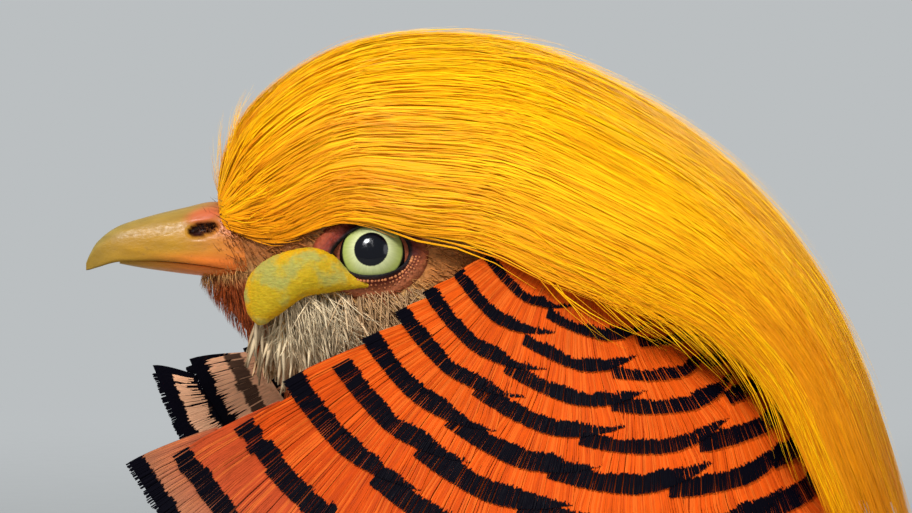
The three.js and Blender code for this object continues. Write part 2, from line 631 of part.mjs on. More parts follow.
// Flesh, bill and eyes
const neckCore = trunkPiece(0, NECK_END, 8);
const torsoCore = trunkPiece(NECK_END + GAP / TUBE_LENGTH, 1, 13);
const neckRoom = trunkPiece(0, NECK_END, 8, 2 * GAP).translate(0, 0, GAP);
const torsoRoom = trunkPiece(NECK_END, 1, 13, GAP);
let headSolidWhole = fuse([headSolid(), ...both(lids())]);
headSolidWhole = cut(headSolidWhole, [
  trunkPiece(0, NECK_END, 8, 4 * GAP).translate(0, 0, 2 * GAP),
  billSolid(UPPER_BILL, false, GAP),
  billSolid(LOWER_BILL, true, GAP),
  ...both(eyeball(EYEBALL_RADIUS + GAP, 11)),
]);
node("head", headSolidWhole, LOOKS.face);
const NOSTRIL = at(EYE_X - 25.4, -5.0, EYE_Z + 2.7);
const nostril = ball(NOSTRIL, at(2.4, 1.5, 0.9), 0.3, 8);
node("bill_upper", cut(toSolid(billSolid(UPPER_BILL, false)), both(nostril)), LOOKS.horn);
node("bill_lower", toSolid(billSolid(LOWER_BILL, true)), LOOKS.horn);
pair("eye", toSolid(eyeball(EYEBALL_RADIUS, 11)), LOOKS.eye);
const wattleRoom = [headSolid(GAP), billSolid(UPPER_BILL, false, GAP), lids(GAP), eyeball(EYEBALL_RADIUS + GAP, 11)];
pair("wattle", cut(toSolid(wattleSolid()), wattleRoom), LOOKS.wattle);
node("neck", cut(toSolid(neckCore), both(eyeball(EYEBALL_RADIUS + GAP, 11))), LOOKS.scarlet);
node("torso", toSolid(torsoCore), LOOKS.scarlet);

// Feathered parts
node("cape", cut(capeSolid(), [neckRoom, torsoRoom, headSolid(GAP), ...both(lids(GAP))]), LOOKS.orange);
const crestRooms = [headSolid(GAP), ...both(lids(GAP)), billSolid(UPPER_BILL, false, GAP), neckRoom, torsoRoom, capeRoom()];
node("crest", cut(crestSolid(), crestRooms), LOOKS.golden);
pair("wing", cut(wingSolid(), [torsoRoom, capeRoom()]), LOOKS.chestnut);
node("tail", cut(tailSolid(), [torsoRoom, ground]), LOOKS.tail);

// Legs
const thigh = limb(THIGH, THIGH_SIDES, evenly(7));
pair("thigh", cut(toSolid(thigh), [torsoRoom]), LOOKS.scarlet);
const shank = fuse([shankSolid(), spurSolid()]);
pair("shank", cut(shank, [limb(THIGH, THIGH_SIDES, evenly(7))]), LOOKS.leg);
const shankRoom = limb(SHANK.map(([x, y, z, a, b]) => [x, y, z, a * 1.16 + GAP, b * 1.16 + GAP]), SHANK_SIDES, evenly(10));
const pad = ball(at(FOOT_X, -FOOT_Y, 4.6), at(6.2, 6.2, 5), 0, 10);
const foot = fuse([pad, ...Object.keys(TOE_LENGTHS).map(toeSolid)]);
pair("foot", cut(foot, [shankRoom.translate(0, 0, -GAP), ground]), LOOKS.leg);
for (const name of Object.keys(TOE_LENGTHS)) pair("claw_" + name, toSolid(clawSolid(name)), LOOKS.claw);

// The origin is put under the middle of the whole length.
const span = new THREE.Box3().setFromObject(bird);
bird.position.x = -(span.min.x + span.max.x) / 2;

export default bird;
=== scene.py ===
import math
import bpy
import mathutils
import numpy as np
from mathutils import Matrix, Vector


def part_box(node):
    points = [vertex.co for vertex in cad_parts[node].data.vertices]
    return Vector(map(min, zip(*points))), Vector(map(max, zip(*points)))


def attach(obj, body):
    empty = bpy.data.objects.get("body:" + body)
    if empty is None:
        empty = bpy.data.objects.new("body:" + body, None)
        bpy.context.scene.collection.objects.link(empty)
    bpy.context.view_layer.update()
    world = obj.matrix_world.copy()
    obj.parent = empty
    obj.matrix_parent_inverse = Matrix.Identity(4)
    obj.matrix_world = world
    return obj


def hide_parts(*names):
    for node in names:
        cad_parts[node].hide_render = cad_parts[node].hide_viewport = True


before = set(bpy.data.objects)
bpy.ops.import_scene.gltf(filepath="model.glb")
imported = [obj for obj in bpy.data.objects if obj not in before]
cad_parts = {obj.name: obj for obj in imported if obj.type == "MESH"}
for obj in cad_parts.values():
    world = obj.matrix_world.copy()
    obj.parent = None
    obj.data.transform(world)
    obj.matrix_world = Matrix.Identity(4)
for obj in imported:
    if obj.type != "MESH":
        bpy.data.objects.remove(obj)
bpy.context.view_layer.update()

draw = np.random.default_rng(20)

# Driving dimensions
EYE = np.array([-95.0, 0.0, 310.0])
BILL_LENGTH = 42.9  # from the eye to the bill's tip
# The way from the bird's own frame to the model's, along X
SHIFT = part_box("bill_upper")[0][0] * 1000 - (EYE[0] - BILL_LENGTH)
EYEBALL_RADIUS, CORNEA_OUT = 6.2, 15.1  # the ball, and how far from the midline it shows
EYE_TURN = np.array([-0.14, -0.97, 0.2]) / np.linalg.norm([-0.14, -0.97, 0.2])  # the way the left eye looks
EYE_MIDDLE = EYE + [0, -CORNEA_OUT, 0] - EYE_TURN * EYEBALL_RADIUS
IRIS_RADIUS, PUPIL_RADIUS = 4.5, 2.55
TRUNK_LENGTH, HEAD_LENGTH = 290, 60
HEAD_ROUND, CHEEK_ROUND = 18, 17  # millimetres to a radian round the face and the cheek
NAPE = np.array([42.0, 15.0])  # the point from which the cape's reach is measured, behind and above the eye
# The directions of the cape's left and right front edges in degrees, and how far from the nape it starts
# and ends
CAPE_FRONTS, CAPE_ROOT, CAPE_REACH = (211.5, 206), 22, 93
CREST_LENGTH = 158.0
# The tail's length, its root's place, and its slope there
TAIL_LENGTH, TAIL_X, TAIL_Z, TAIL_SLOPE = 690, 143, 157, 0.19
# How far the tail runs along X, as a share of its length, and its tip's height
TAIL_LEVEL, TAIL_TIP_Z = 0.974, 1.2
# How long and deep the tail's fleshy root is, and how far down the tail its two halves get their full slope
TAIL_CORE, TAIL_DEEP, TAIL_FEATHERS = 120, 17, 60
ROOF_SLOPE, ROOF_ROUND = 0.9, 6  # how each half of the tail falls away, and how round its ridge is
FOOT_X, FOOT_Y = 22, 31


def rgb(red, green, blue):
    """A colour as the eye sees it, from 0 to 255, as the shader's linear numbers."""
    share = np.array([red, green, blue]) / 255
    return np.where(share < 0.04045, share / 12.92, ((share + 0.055) / 1.055) ** 2.4)


def mix(a, b, f):
    return a + (b - a) * f


def smooth(f):
    f = np.clip(f, 0, 1)
    return f * f * (3 - 2 * f)


def fade(value, start, end):
    """0 where the value is start, 1 where it is end, and smooth between."""
    return smooth((value - start) / (end - start))


def unit(vectors):
    return vectors / np.maximum(np.linalg.norm(vectors, axis=-1, keepdims=True), 1e-9)


def stacked(*values):
    """The values side by side in a new last axis."""
    return np.stack(np.broadcast_arrays(*values), -1)


def columns(values):
    return np.moveaxis(values, -1, 0)


def grid(first, second):
    return np.meshgrid(first, second, indexing="ij")


def turns(sides):
    """Angles evenly round a circle."""
    return np.arange(sides) * 2 * math.pi / sides


def from_back(angle):
    """Degrees from the back, either way round."""
    return np.abs((np.degrees(angle) + 180) % 360 - 180)


def painted(tint, *layers):
    """A tint with colours laid over it in turn, each by its share."""
    for colour, share in layers:
        tint = mix(tint, colour, np.clip(share, 0, 1)[..., None])
    return tint


def varied(colour, count, light=0.12, warm=0.05):
    """The colour for each of count things, a little lighter or darker and warmer or cooler."""
    value = 1 + draw.normal(0, light, (count, 1))
    turn = 1 + draw.normal(0, warm, (count, 1)) * np.array([0.4, 1.0, 0.5])
    return np.clip(np.asarray(colour) * value * turn, 0, 1)


def track(rows):
    """Smooth values through evenly spaced rows of numbers, for t from 0 to 1."""
    rows = np.array(rows, float)
    last = len(rows) - 1

    def values(t):
        place = np.clip(np.asarray(t, float), 0, 1) * last
        i = np.minimum(np.floor(place).astype(int), last - 1)
        f = (place - i)[..., None]
        a, b, d, e = (rows[np.clip(i + k, 0, last)] for k in (-1, 0, 1, 2))
        return b + 0.5 * f * (d - a + f * (2 * a - 5 * b + 4 * d - e + f * (3 * b - a - 3 * d + e)))

    return values


def off_curve(curve, t, out):
    """How far x and z move where a point leaves a curve, whose first columns they are, by out."""
    step = 0.01
    dx, dz = columns(curve(t + step) - curve(t - step))[:2]
    run = np.hypot(dx, dz)
    return -out * dz / run, out * dx / run


# The surfaces of the solids, which carry the coat. Each takes arrays of places and gives points.
# The trunk's middle line from the eye, then its half depth and half width
trunk_rows = track([
    [17, -3, 8, 7],
    [13, -17, 24.5, 14.5],
    [18, -29, 29.5, 20],
    [24, -46, 33, 26],
    [33, -65, 41, 35],
    [54, -88, 49, 43],
    [88, -108, 54, 47.5],
    [126, -122, 53, 47.5],
    [163, -134, 44, 40],
    [198, -144, 30, 29],
    [226, -151, 22, 22],
    [238, -153.5, 18, 18],
])


def trunk(s, angle, lift=0.0):
    """Neck and trunk, by the share of its length and the angle round it: 0 is the back, 90 degrees the
    right."""
    x, z, depth, width = columns(trunk_rows(s))
    dx, dz = off_curve(trunk_rows, s, (depth + lift) * np.cos(angle))
    return stacked(EYE[0] + x + dx, (width + lift) * np.sin(angle), EYE[2] + z + dz)


# The head's place along X from the eye, its top and bottom, and its half width
head_rows = track([
    [-25.5, 4.2, -4.4, 2.6],
    [-22, 7.4, -9.2, 5.2],
    [-17, 10.8, -15.0, 7.8],
    [-10, 14.2, -19.5, 10.8],
    [-2, 16.4, -22.0, 13.0],
    [7, 17.2, -23.0, 14.2],
    [16, 16.2, -23.0, 13.8],
    [24, 12.8, -21.5, 12.0],
    [30, 7.5, -17.5, 9.0],
    [33.5, 1.0, -11.0, 5.0],
])


def head(t, angle, lift=0.0):
    """The head from the bill's base (t = 0) to its back, by the angle round it from the top."""
    x, top, bottom, width = columns(head_rows(t))
    middle, half = (top + bottom) / 2, (top - bottom) / 2 + lift
    y = (width + lift) * np.sign(np.sin(angle)) * np.abs(np.sin(angle)) ** 0.85
    return stacked(EYE[0] + x + lift * mix(-1, 1, t), y, EYE[2] + middle + half * np.cos(angle))


# The crest's middle line and then its edge, both from the eye, and how far out the edge is
crest_rows = track([
    [-23.5, 8, -22.5, 3.2, 4.8],
    [-18.5, 20.5, -14.5, 1.2, 9.5],
    [-5.5, 29.8, -4, 4.8, 13.8],
    [10, 32.4, 7, 3.0, 17.2],
    [26, 30, 17, 2.2, 19],
    [42, 22, 28, -2.2, 21],
    [56, 11.5, 40, -6.5, 22.5],
    [67, -2, 51, -11.5, 22.5],
    [74.5, -17, 60, -20, 21],
    [79, -31, 66, -31, 19.5],
    [82.5, -44, 71, -42, 18],
])


def crest(t, side, lift=0.0):
    """The crest from the bill (t = 0) to its tips (t = 1); side is -1 at the left edge and 1 at the right."""
    mx, mz, ex, ez, out = columns(crest_rows(t))
    angle = side * math.pi / 2
    fall = 1 - np.cos(angle)
    dx, dz = off_curve(crest_rows, t, lift * np.cos(angle))
    x, z = mix(mx, ex, fall) + dx, mix(mz, ez, fall) + dz
    return stacked(EYE[0] + x, (out + lift) * np.sin(angle), EYE[2] + z)


# The direction of the cape at the back, in degrees, and its half width at the widest and at the front, root
# to tips
cape_rows = track([
    [276, 13.5, 13.5],
    [297, 21, 17],
    [299, 30, 21],
    [304, 39, 25],
    [312, 47, 29],
])
CAPE_WIDEST = 0.6  # the side where the cape is widest


def cape_base(reach, side):
    back, widest, front = columns(cape_rows((reach - CAPE_ROOT) / (CAPE_REACH - CAPE_ROOT)))
    u = np.abs(side)
    angle = np.radians(mix(back, np.where(side < 0, *CAPE_FRONTS), 1 - np.cos(u * math.pi / 2)))
    out = mix(widest, front, fade(u, CAPE_WIDEST, 1))
    y = np.sign(side) * out * np.sin(np.minimum(u / CAPE_WIDEST, 1) * math.pi / 2)
    return stacked(EYE[0] + NAPE[0] + reach * np.cos(angle), y, EYE[2] + NAPE[1] + reach * np.sin(angle))


def cape(reach, side, lift=0.0):
    """The fan over the neck, by the distance from the nape and the side: -1 is the left front edge, 0 the
    back."""
    out = np.cross(
        cape_base(reach + 0.5, side) - cape_base(reach - 0.5, side),
        cape_base(reach, side + 0.01) - cape_base(reach, side - 0.01),
    )
    return cape_base(reach, side) + unit(out) * np.asarray(lift, float)[..., None]


def along_side(reach, side):
    """Millimetres along the cape's edge for each unit of side."""
    small = 0.004
    reach = np.broadcast_to(np.asarray(reach, float), np.shape(side))
    across = cape_base(reach, side + small) - cape_base(reach, side - small)
    return np.linalg.norm(across, axis=-1) / (2 * small)


TAIL_SPAN = TAIL_LENGTH * TAIL_LEVEL
# How the tail's slope grows towards its tip
TAIL_BOW = (TAIL_Z - TAIL_TIP_Z - TAIL_SLOPE * TAIL_SPAN) / TAIL_SPAN ** 2


def tail(along, across, lift=0.0):
    """The tail by the distance from its root and the distance from its middle line: each half falls like a
    roof."""
    x = along * TAIL_LEVEL
    steep = TAIL_SLOPE + 2 * TAIL_BOW * x
    roof = -ROOF_SLOPE * fade(along, 0, TAIL_FEATHERS) * (np.hypot(across, ROOF_ROUND) - ROOF_ROUND)
    z = TAIL_Z - TAIL_SLOPE * x - TAIL_BOW * x * x + roof + lift
    return stacked(TAIL_X + x + lift * steep, across, z)


def tail_root(along, angle, lift=0.0):
    """The tail's fleshy root, by the distance along it and the angle round it from the top."""
    thin = fade(along, 0, TAIL_CORE)
    deep = np.where(np.cos(angle) > 0, mix(TAIL_DEEP, 0.6, thin), mix(TAIL_DEEP, 7, thin)) + lift
    return tail(along, (mix(16.5, 20, thin) + lift) * np.sin(angle), deep * np.cos(angle))


def over_root(along, across):
    """How high a feather lies over the tail's root."""
    top = mix(TAIL_DEEP, 0.6, fade(along, 0, TAIL_CORE)) * np.sqrt(np.maximum(1 - (across / 19) ** 2, 0.06))
    return top + mix(0.4, 1.8, fade(along, 0, 30))


# The left leg: rows of a place from the foot and the height, then half the thickness along X and along Y
thigh_rows = track([
    [-4, 2, 172, 27, 11],
    [-2, 0, 150, 25, 14],
    [6, -1, 127, 17, 11.5],
    [15, 0, 106, 10, 8.2],
    [21, 1, 91, 5.6, 5.2],
])
shank_rows = track([
    [22.5, 1, 90, 4.6, 4.2],
    [22, 1, 83, 5.0, 4.4],
    [19, 1, 72, 3.5, 3.0],
    [14, 0.7, 54, 3.1, 2.7],
    [9, 0.4, 36, 3.1, 2.8],
    [4, 0.1, 18, 3.6, 3.6],
    [1, 0, 8, 4.4, 4.6],
])


def limb(rows, t, angle, lift=0.0):
    """The left leg, by the share down it and the angle round it: 180 degrees is its front."""
    x, y, z, deep, wide = columns(rows(t))
    return stacked(FOOT_X + x + (deep + lift) * np.cos(angle), -FOOT_Y + y + (wide + lift) * np.sin(angle), z)


def thigh(t, angle, lift=0.0):
    return limb(thigh_rows, t, angle, lift)


class Shape:
    """Points with faces, a colour and a place in millimetres for the pattern, and a place in the baked
    picture."""

    def __init__(self, points, faces, tint, place, bake):
        count = len(points)
        self.points, self.faces = points, faces
        self.tint = np.broadcast_to(tint, (count, 3))
        self.place = np.broadcast_to(place, (count, 3))
        self.bake = bake


def joined(shapes):
    faces, start = [], 0
    for shape in shapes:
        faces += [block + start for block in shape.faces]
        start += len(shape.points)
    gather = lambda name: np.concatenate([getattr(shape, name) for shape in shapes])
    return Shape(gather("points"), faces, gather("tint"), gather("place"), gather("bake"))


def mirrored(shape):
    """The shape on the bird's other side."""
    faces = [block[:, ::-1] for block in shape.faces]
    return Shape(shape.points * [1, -1, 1], faces, shape.tint, shape.place, shape.bake)


def both_sides(make):
    """What make gives for the left side, -1, and then for the right, 1, as one shape."""
    return joined([make(side) for side in (-1, 1)])


def facing_out(points, faces):
    """Turns every face round if the closed forms point in."""
    volume = 0
    for block in faces:
        a, b, c = (points[block[:, k]] for k in range(3))
        volume += np.sum(a * np.cross(b, c))
        if block.shape[1] == 4:
            volume += np.sum(a * np.cross(c, points[block[:, 3]]))
    return [block[:, ::-1] for block in faces] if volume < 0 else faces


def tubes(rings, tint, place, bake, flat=False, wrap=False):
    """Closed tubes from rings (tube, ring, point). Flat tubes are closed across, others by a fan, or end on
    end."""
    n, m, k = rings.shape[:3]
    i, j = grid(np.arange(m if wrap else m - 1), np.arange(k))
    a, b = i * k + j, i * k + (j + 1) % k
    ahead = ((i + 1) % m - i) * k
    blocks = [np.stack([a, b, b + ahead, a + ahead], -1).reshape(-1, 4)]
    if flat:
        j = np.arange(k // 2 - 1)
        cap = stacked(j, k - 1 - j, k - 2 - j, j + 1)
    else:
        j = np.arange(1, k - 1)
        cap = stacked(j + 1, j, 0)
    if not wrap:
        blocks.append(np.concatenate([cap, (m - 1) * k + cap[:, ::-1]]))
    start = np.arange(n)[:, None, None] * m * k
    faces = [(start + block).reshape(-1, block.shape[1]) for block in blocks]
    points = rings.reshape(-1, 3)
    spread = lambda values, size: np.broadcast_to(values, (n, m, k, size)).reshape(-1, size)
    return Shape(points, facing_out(points, faces), spread(tint, 3), spread(place, 3), spread(bake, 2))


def slabs(top, low, tint, place, bake):
    """Flat closed forms from the points of their upper and lower faces (form, row, column)."""
    def both(values, size):
        values = np.broadcast_to(values, (*top.shape[:3], size))
        return np.concatenate([values, values[:, :, ::-1]], 2)

    rings = np.concatenate([top, low[:, :, ::-1]], 2)
    return tubes(rings, both(tint, 3), both(place, 3), both(bake, 2), flat=True)


# Places in the baked picture
PATCH = 0.003  # a strand's room


def sheet_bake(m, k, corner=(0.02, 0.02), room=0.96):
    """A whole unwrap for one tube: along it and round it."""
    i, j = grid(np.linspace(0, 1, m), np.linspace(0, 1, k))
    return stacked(corner[0] + room * j, corner[1] + room * i)[None]


def cell_bake(inside, count, of, first=0):
    """Places inside a square for each of count things, from the first on, in a picture of squares for all
    of them."""
    across = math.ceil(math.sqrt(of))
    number = np.arange(count) + first
    return (stacked(number % across, number // across)[:, None, None, :] + inside) / across


def strands(centre, outward, half, tint, place, bake, thick=0.7, point=0.12):
    """Thin three-sided strands about centre lines (strand, ring), which swell a little and end in a point."""
    f = np.linspace(0, 1, centre.shape[1])
    share = mix(0.75, 1, fade(f, 0, 0.25)) * mix(1, point, fade(f, 0.45, 1))
    across = unit(np.cross(np.gradient(centre, axis=1), outward))
    wide = (half[:, None] * share)[..., None]
    rings = np.stack([centre - across * wide, centre + across * wide, centre + outward * wide * thick], 2)
    return tubes(rings, tint[:, :, None], place[:, :, None], bake)


def lay(onto, root, tip, lift, half, tint, steps=6, wave=0.0, root_uv=None, **form):
    """Strands over a surface from root to tip places, with heights at root, middle and tip."""
    n = len(root)
    f = np.linspace(0, 1, steps + 1)
    u = mix(root[:, :1], tip[:, :1], f)
    swing = wave * np.sin(f * draw.uniform(2, 6, (n, 1)) + draw.uniform(0, 6.3, (n, 1))) * f
    v = mix(root[:, 1:], tip[:, 1:], f) + swing
    low, middle, high = (lift[:, k:k + 1] for k in range(3))
    height = mix(mix(low, middle, f), mix(middle, high, f), f)
    centre = onto(u, v, height)
    outward = unit(onto(u, v, height + 0.2) - centre)
    length = np.linalg.norm(centre[:, -1] - centre[:, 0], axis=-1)[:, None]
    number = draw.uniform(0, 500, (n, 1))
    if root_uv is None:
        root_uv = stacked(root[:, 1] % 1 * 0.99, np.clip(root[:, 0], 0, 0.99))
    corner = root_uv[:, None, None, :]
    bake = stacked(corner[..., 0] + PATCH * np.linspace(0, 1, 3), corner[..., 1] + PATCH * f[:, None])
    if tint.ndim == 2:
        tint = tint[:, None]
    return strands(centre, outward, half, tint, stacked(number, f * length, number), bake, **form)


def vanes(onto, root, tip, half, outline, lift, tint,
          rise=0.0, tilt=0.0, ridge=0.0, thick=0.3, rows=6, across=5,
          fray=0.0, of=None, first=0, cut=0.0):
    """Flat closed feathers over a surface, each with its own square of the baked picture; cut shortens
    their ends."""
    n = len(root)
    f = np.linspace(0, 1, rows)[:, None]
    j = np.linspace(-1, 1, across)
    each = lambda value: np.broadcast_to(np.asarray(value, float), (n,))[:, None, None]
    run = f + fray * draw.uniform(-1, 1, (n, 1, across)) * f ** 3
    cut = np.broadcast_to(cut, (n, across))[:, None, :]
    (u_root, v_root), (u_long, v_long) = root.T, (tip - root).T
    u = each(u_root) + (each(u_long) - cut) * run
    v = each(v_root) + each(v_long) * run
    share = track([[value] for value in outline])(f[:, 0])
    small = 1e-3 * max(1.0, float(np.abs(v_root).max()))
    middle_u, middle_v = u[:, :, across // 2], v[:, :, across // 2]
    beside = [onto(middle_u, middle_v + step, 0 * middle_u) for step in (small, -small)]
    per_unit = np.linalg.norm(beside[0] - beside[1], axis=-1) / (2 * small)
    wide = each(half) * share * j
    v = v + wide / per_unit[:, :, None]
    level = lift(u, v) if callable(lift) else each(lift)
    height = level + each(rise) * run + each(tilt) * j + ridge * (1 - j * j)
    deep = thick / 2 * mix(1, 0.4, f)
    top = onto(u, v, height + deep)
    length = np.linalg.norm(top[:, -1, across // 2] - top[:, 0, across // 2], axis=-1)
    place = stacked(wide, (1 - run) * (each(length) - cut), each(draw.uniform(0, 500, n)))
    bake = cell_bake(0.06 + 0.88 * stacked((j + 1) / 2, f), n, of or n, first)
    if np.ndim(tint) == 2:
        tint = tint[:, None, None, :]
    return slabs(top, onto(u, v, height - deep), tint, place, bake)


def piece(name, shape, look, replaces=(), soft=True):
    """A Blender object from a shape, which rides on the bird and stands for the solids that it replaces."""
    mesh = bpy.data.meshes.new(name)
    faces = [face for block in shape.faces for face in block.tolist()]
    mesh.from_pydata(((shape.points + [SHIFT, 0, 0]) / 1000).tolist(), [], faces)
    mesh.polygons.foreach_set("use_smooth", np.full(len(faces), soft))
    corners = np.empty(len(mesh.loops), int)
    mesh.loops.foreach_get("vertex_index", corners)
    mesh.uv_layers.new(name="OFBake").data.foreach_set("uv", shape.bake[corners].ravel())
    put_colours(mesh, shape.tint, shape.place)
    made = bpy.data.objects.new(name, mesh)
    bpy.context.scene.collection.objects.link(made)
    made.data.materials.append(look)
    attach(made, "root")
    if replaces:
        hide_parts(*replaces)
    return made


def put_colours(mesh, tint, place):
    """Each point's colour, and its place for the pattern."""
    colour = np.ones((len(tint), 4))
    colour[:, :3] = np.clip(tint, 0, 1)
    mesh.color_attributes.new("Tint", "FLOAT_COLOR", "POINT").data.foreach_set("color", colour.ravel())
    mesh.attributes.new("Place", "FLOAT_VECTOR", "POINT").data.foreach_set("vector", place.ravel())


def pair(name, shape, look, slot, *replaces, soft=True):
    """The left side's piece and its mirror image, with the side at the end of each name."""
    for side, turned in (("left", shape), ("right", mirrored(shape))):
        piece(f"{name}_{side}", turned, look, [f"{node}_{side}" for node in replaces], soft)


# Materials
class Look:
    """A material with one Principled shader, and short calls for its nodes."""

    def __init__(self, name, **constants):
        self.material = bpy.data.materials.new(name)
        self.material.use_nodes = True
        self.tree = self.material.node_tree
        self.shader = self.tree.nodes["Principled BSDF"]
        for key, value in constants.items():
            self.shader.inputs[key.replace("_", " ")].default_value = value

    def node(self, kind, inputs=(), **settings):
        made = self.tree.nodes.new("ShaderNode" + kind)
        for key, value in settings.items():
            setattr(made, key, value)
        for key, value in dict(inputs).items():
            self.put(value, made.inputs[key])
        return made

    def put(self, value, socket):
        if isinstance(value, bpy.types.NodeSocket):
            self.tree.links.new(value, socket)
        else:
            socket.default_value = value

    def read(self, name, output="Vector"):
        return self.node("Attribute", attribute_name=name).outputs[output]

    def split(self, vector):
        return self.node("SeparateXYZ", {0: vector}).outputs

    def calc(self, operation, a, b=0.0):
        return self.node("Math", {0: a, 1: b}, operation=operation).outputs[0]

    def add(self, a, b):
        return self.calc("ADD", a, b)

    def times(self, a, b):
        return self.calc("MULTIPLY", a, b)

    def noise(self, place, scale, stretch=(1, 1, 1), detail=2.0):
        vector = self.node("Mapping", {"Vector": place, "Scale": stretch}).outputs[0]
        return self.node("TexNoise", {"Vector": vector, "Scale": scale, "Detail": detail}).outputs["Fac"]

    def cells(self, place, scale, **settings):
        return self.node("TexVoronoi", {"Vector": place, "Scale": scale}, **settings).outputs["Distance"]

    def ramp(self, value, low, high, to_low=0.0, to_high=1.0, kind="SMOOTHSTEP"):
        inputs = {"Value": value, "From Min": low, "From Max": high, "To Min": to_low, "To Max": to_high}
        return self.node("MapRange", inputs, interpolation_type=kind).outputs[0]

    def spread(self, noise, low, high):
        """A noise, whose values lie mostly between 0.3 and 0.7, stretched to run from low to high."""
        return self.ramp(noise, 0.3, 0.7, low, high, "LINEAR")

    def blend(self, factor, a, b, kind="MIX"):
        made = self.node("Mix", {"Factor": factor}, data_type="RGBA", blend_type=kind)
        for value, place in ((a, 6), (b, 7)):
            self.put(value if isinstance(value, bpy.types.NodeSocket) else (*value, 1), made.inputs[place])
        return made.outputs[2]

    def bump(self, height, distance, strength=1.0):
        made = self.node("Bump", {"Height": height, "Distance": distance, "Strength": strength})
        self.tree.links.new(made.outputs[0], self.shader.inputs["Normal"])

    def grey(self, value):
        return self.node("CombineColor", {0: value, 1: value, 2: value}).outputs[0]

    def shade(self, colour, value):
        """The colour made darker or lighter by a value about 1."""
        return self.blend(1.0, colour, self.grey(value), "MULTIPLY")

    def finish(self, colour, rough):
        self.put(colour, self.shader.inputs["Base Color"])
        self.put(rough, self.shader.inputs["Roughness"])
        return self.material


class Plumes(Look):
    """Feather barbs: fine streaks of light and dark along each strand or vane."""

    def __init__(self, name, streak=3.0, depth=0.35, rough=(0.42, 0.62), **constants):
        super().__init__(name, **{"Specular_IOR_Level": 0.1, **constants})
        self.place = self.read("Place")
        grain = self.noise(self.place, streak, (1.6, 0.12, 1))
        broad = self.noise(self.place, 0.6, (0.6, 0.25, 1))
        value = self.times(self.spread(grain, 1 - depth, 1 + depth * 0.6), self.spread(broad, 0.9, 1.08))
        self.bump(grain, 0.00012, 0.6)
        self.colour = self.shade(self.read("Tint", "Color"), value)
        self.rough = self.spread(grain, *rough)

    def done(self, colour=None):
        return self.finish(self.colour if colour is None else colour, self.rough)


BLUE_BLACK, BAR_BROWN = rgb(4, 3, 11), rgb(62, 32, 18)
HIND_SCALE = 8.0  # Place's first number at a cape feather's hind edge
UNDERSIDE = 10.0  # added to the bar's width in Place where a barb shows its underside, which has a second bar
SECOND_BAR = 7.2  # how far from the tip the underside's second bar is


def barred_look():
    """The cape's orange feathers with a blue-black end; Place gives the share towards the hind edge, and in
    millimetres the distance from the tip and the bar's width."""
    look = Plumes("barred_orange", streak=4.0, depth=0.16, Specular_IOR_Level=0.03)
    hind, from_tip, width = look.split(look.place)
    comb = look.noise(look.place, 1.0, (7.0, 0.06, 40.0), 2.0)
    drift = look.noise(look.place, 1.0, (0.3, 0.1, 40.0), 1.0)
    from_tip = look.add(from_tip, look.spread(drift, -0.3, 0.3))
    under = look.calc("GREATER_THAN", width, UNDERSIDE / 2)
    width = look.calc("SUBTRACT", width, look.times(under, UNDERSIDE))
    width = look.times(width, look.ramp(hind, 0.3 * HIND_SCALE, HIND_SCALE, 1.0, 0.02, "LINEAR"))
    inner = look.add(width, look.ramp(comb, 0.35, 0.7, -0.12, 0.3, "LINEAR"))
    dark = look.ramp(look.calc("SUBTRACT", from_tip, inner), -0.1, 0.1, 1, 0)
    second = look.ramp(look.calc("ABSOLUTE", look.calc("SUBTRACT", from_tip, SECOND_BAR)), 1.0, 1.4, 0.9, 0)
    dark = look.calc("MAXIMUM", dark, look.times(second, under))
    worn = look.ramp(look.noise(look.place, 1.0, (0.9, 0.5, 40.0), 3.0), 0.7, 0.85, 0, 0.5)
    return look.done(look.blend(dark, look.colour, look.blend(worn, BLUE_BLACK, BAR_BROWN)))


def skin_look():
    look = Look("skin", Specular_IOR_Level=0.2)
    place = look.read("Place")
    fine = look.noise(place, 2.2, detail=4.0)
    look.bump(look.add(fine, look.cells(place, 1.4)), 0.0003, 0.6)
    colour = look.shade(look.read("Tint", "Color"), look.spread(fine, 0.75, 1.2))
    return look.finish(colour, look.spread(fine, 0.5, 0.75))


def bill_look():
    look = Look("bill_horn", Specular_IOR_Level=0.25)
    place = look.read("Place")
    streaks = look.noise(place, 0.9, (0.12, 1, 1), 5.0)
    specks = look.noise(place, 2.4, (0.6, 1, 1), 3.0)
    colour = look.shade(look.read("Tint", "Color"), look.spread(streaks, 0.84, 1.12))
    colour = look.blend(look.ramp(specks, 0.62, 0.8, 0, 0.45), colour, rgb(92, 62, 26))
    look.bump(look.add(streaks, look.times(specks, 0.4)), 0.0002, 0.45)
    return look.finish(colour, look.spread(specks, 0.3, 0.5))


def wattle_look():
    """Yellow skin with olive patches and fine lines."""
    look = Look("wattle_skin", Subsurface_Weight=0.15, Subsurface_Scale=0.002, Specular_IOR_Level=0.1)
    place = look.read("Place")
    cells = look.cells(place, 1.5)
    patches = look.ramp(look.noise(place, 0.28, detail=3.0), 0.46, 0.64, 0, 0.85)
    lines = look.noise(place, 1.8, (0.7, 1, 2.0), 4.0)
    colour = look.blend(patches, look.read("Tint", "Color"), rgb(150, 146, 72))
    look.bump(look.add(look.times(cells, 0.5), lines), 0.0003, 0.5)
    rough = look.ramp(cells, 0.0, 0.6, 0.38, 0.6, "LINEAR")
    return look.finish(look.shade(colour, look.spread(lines, 0.82, 1.12)), rough)


IRIS_INNER, IRIS_OUTER = rgb(196, 200, 146), rgb(162, 172, 88)
PUPIL, IRIS_RIM = rgb(3, 4, 12), rgb(16, 12, 12)


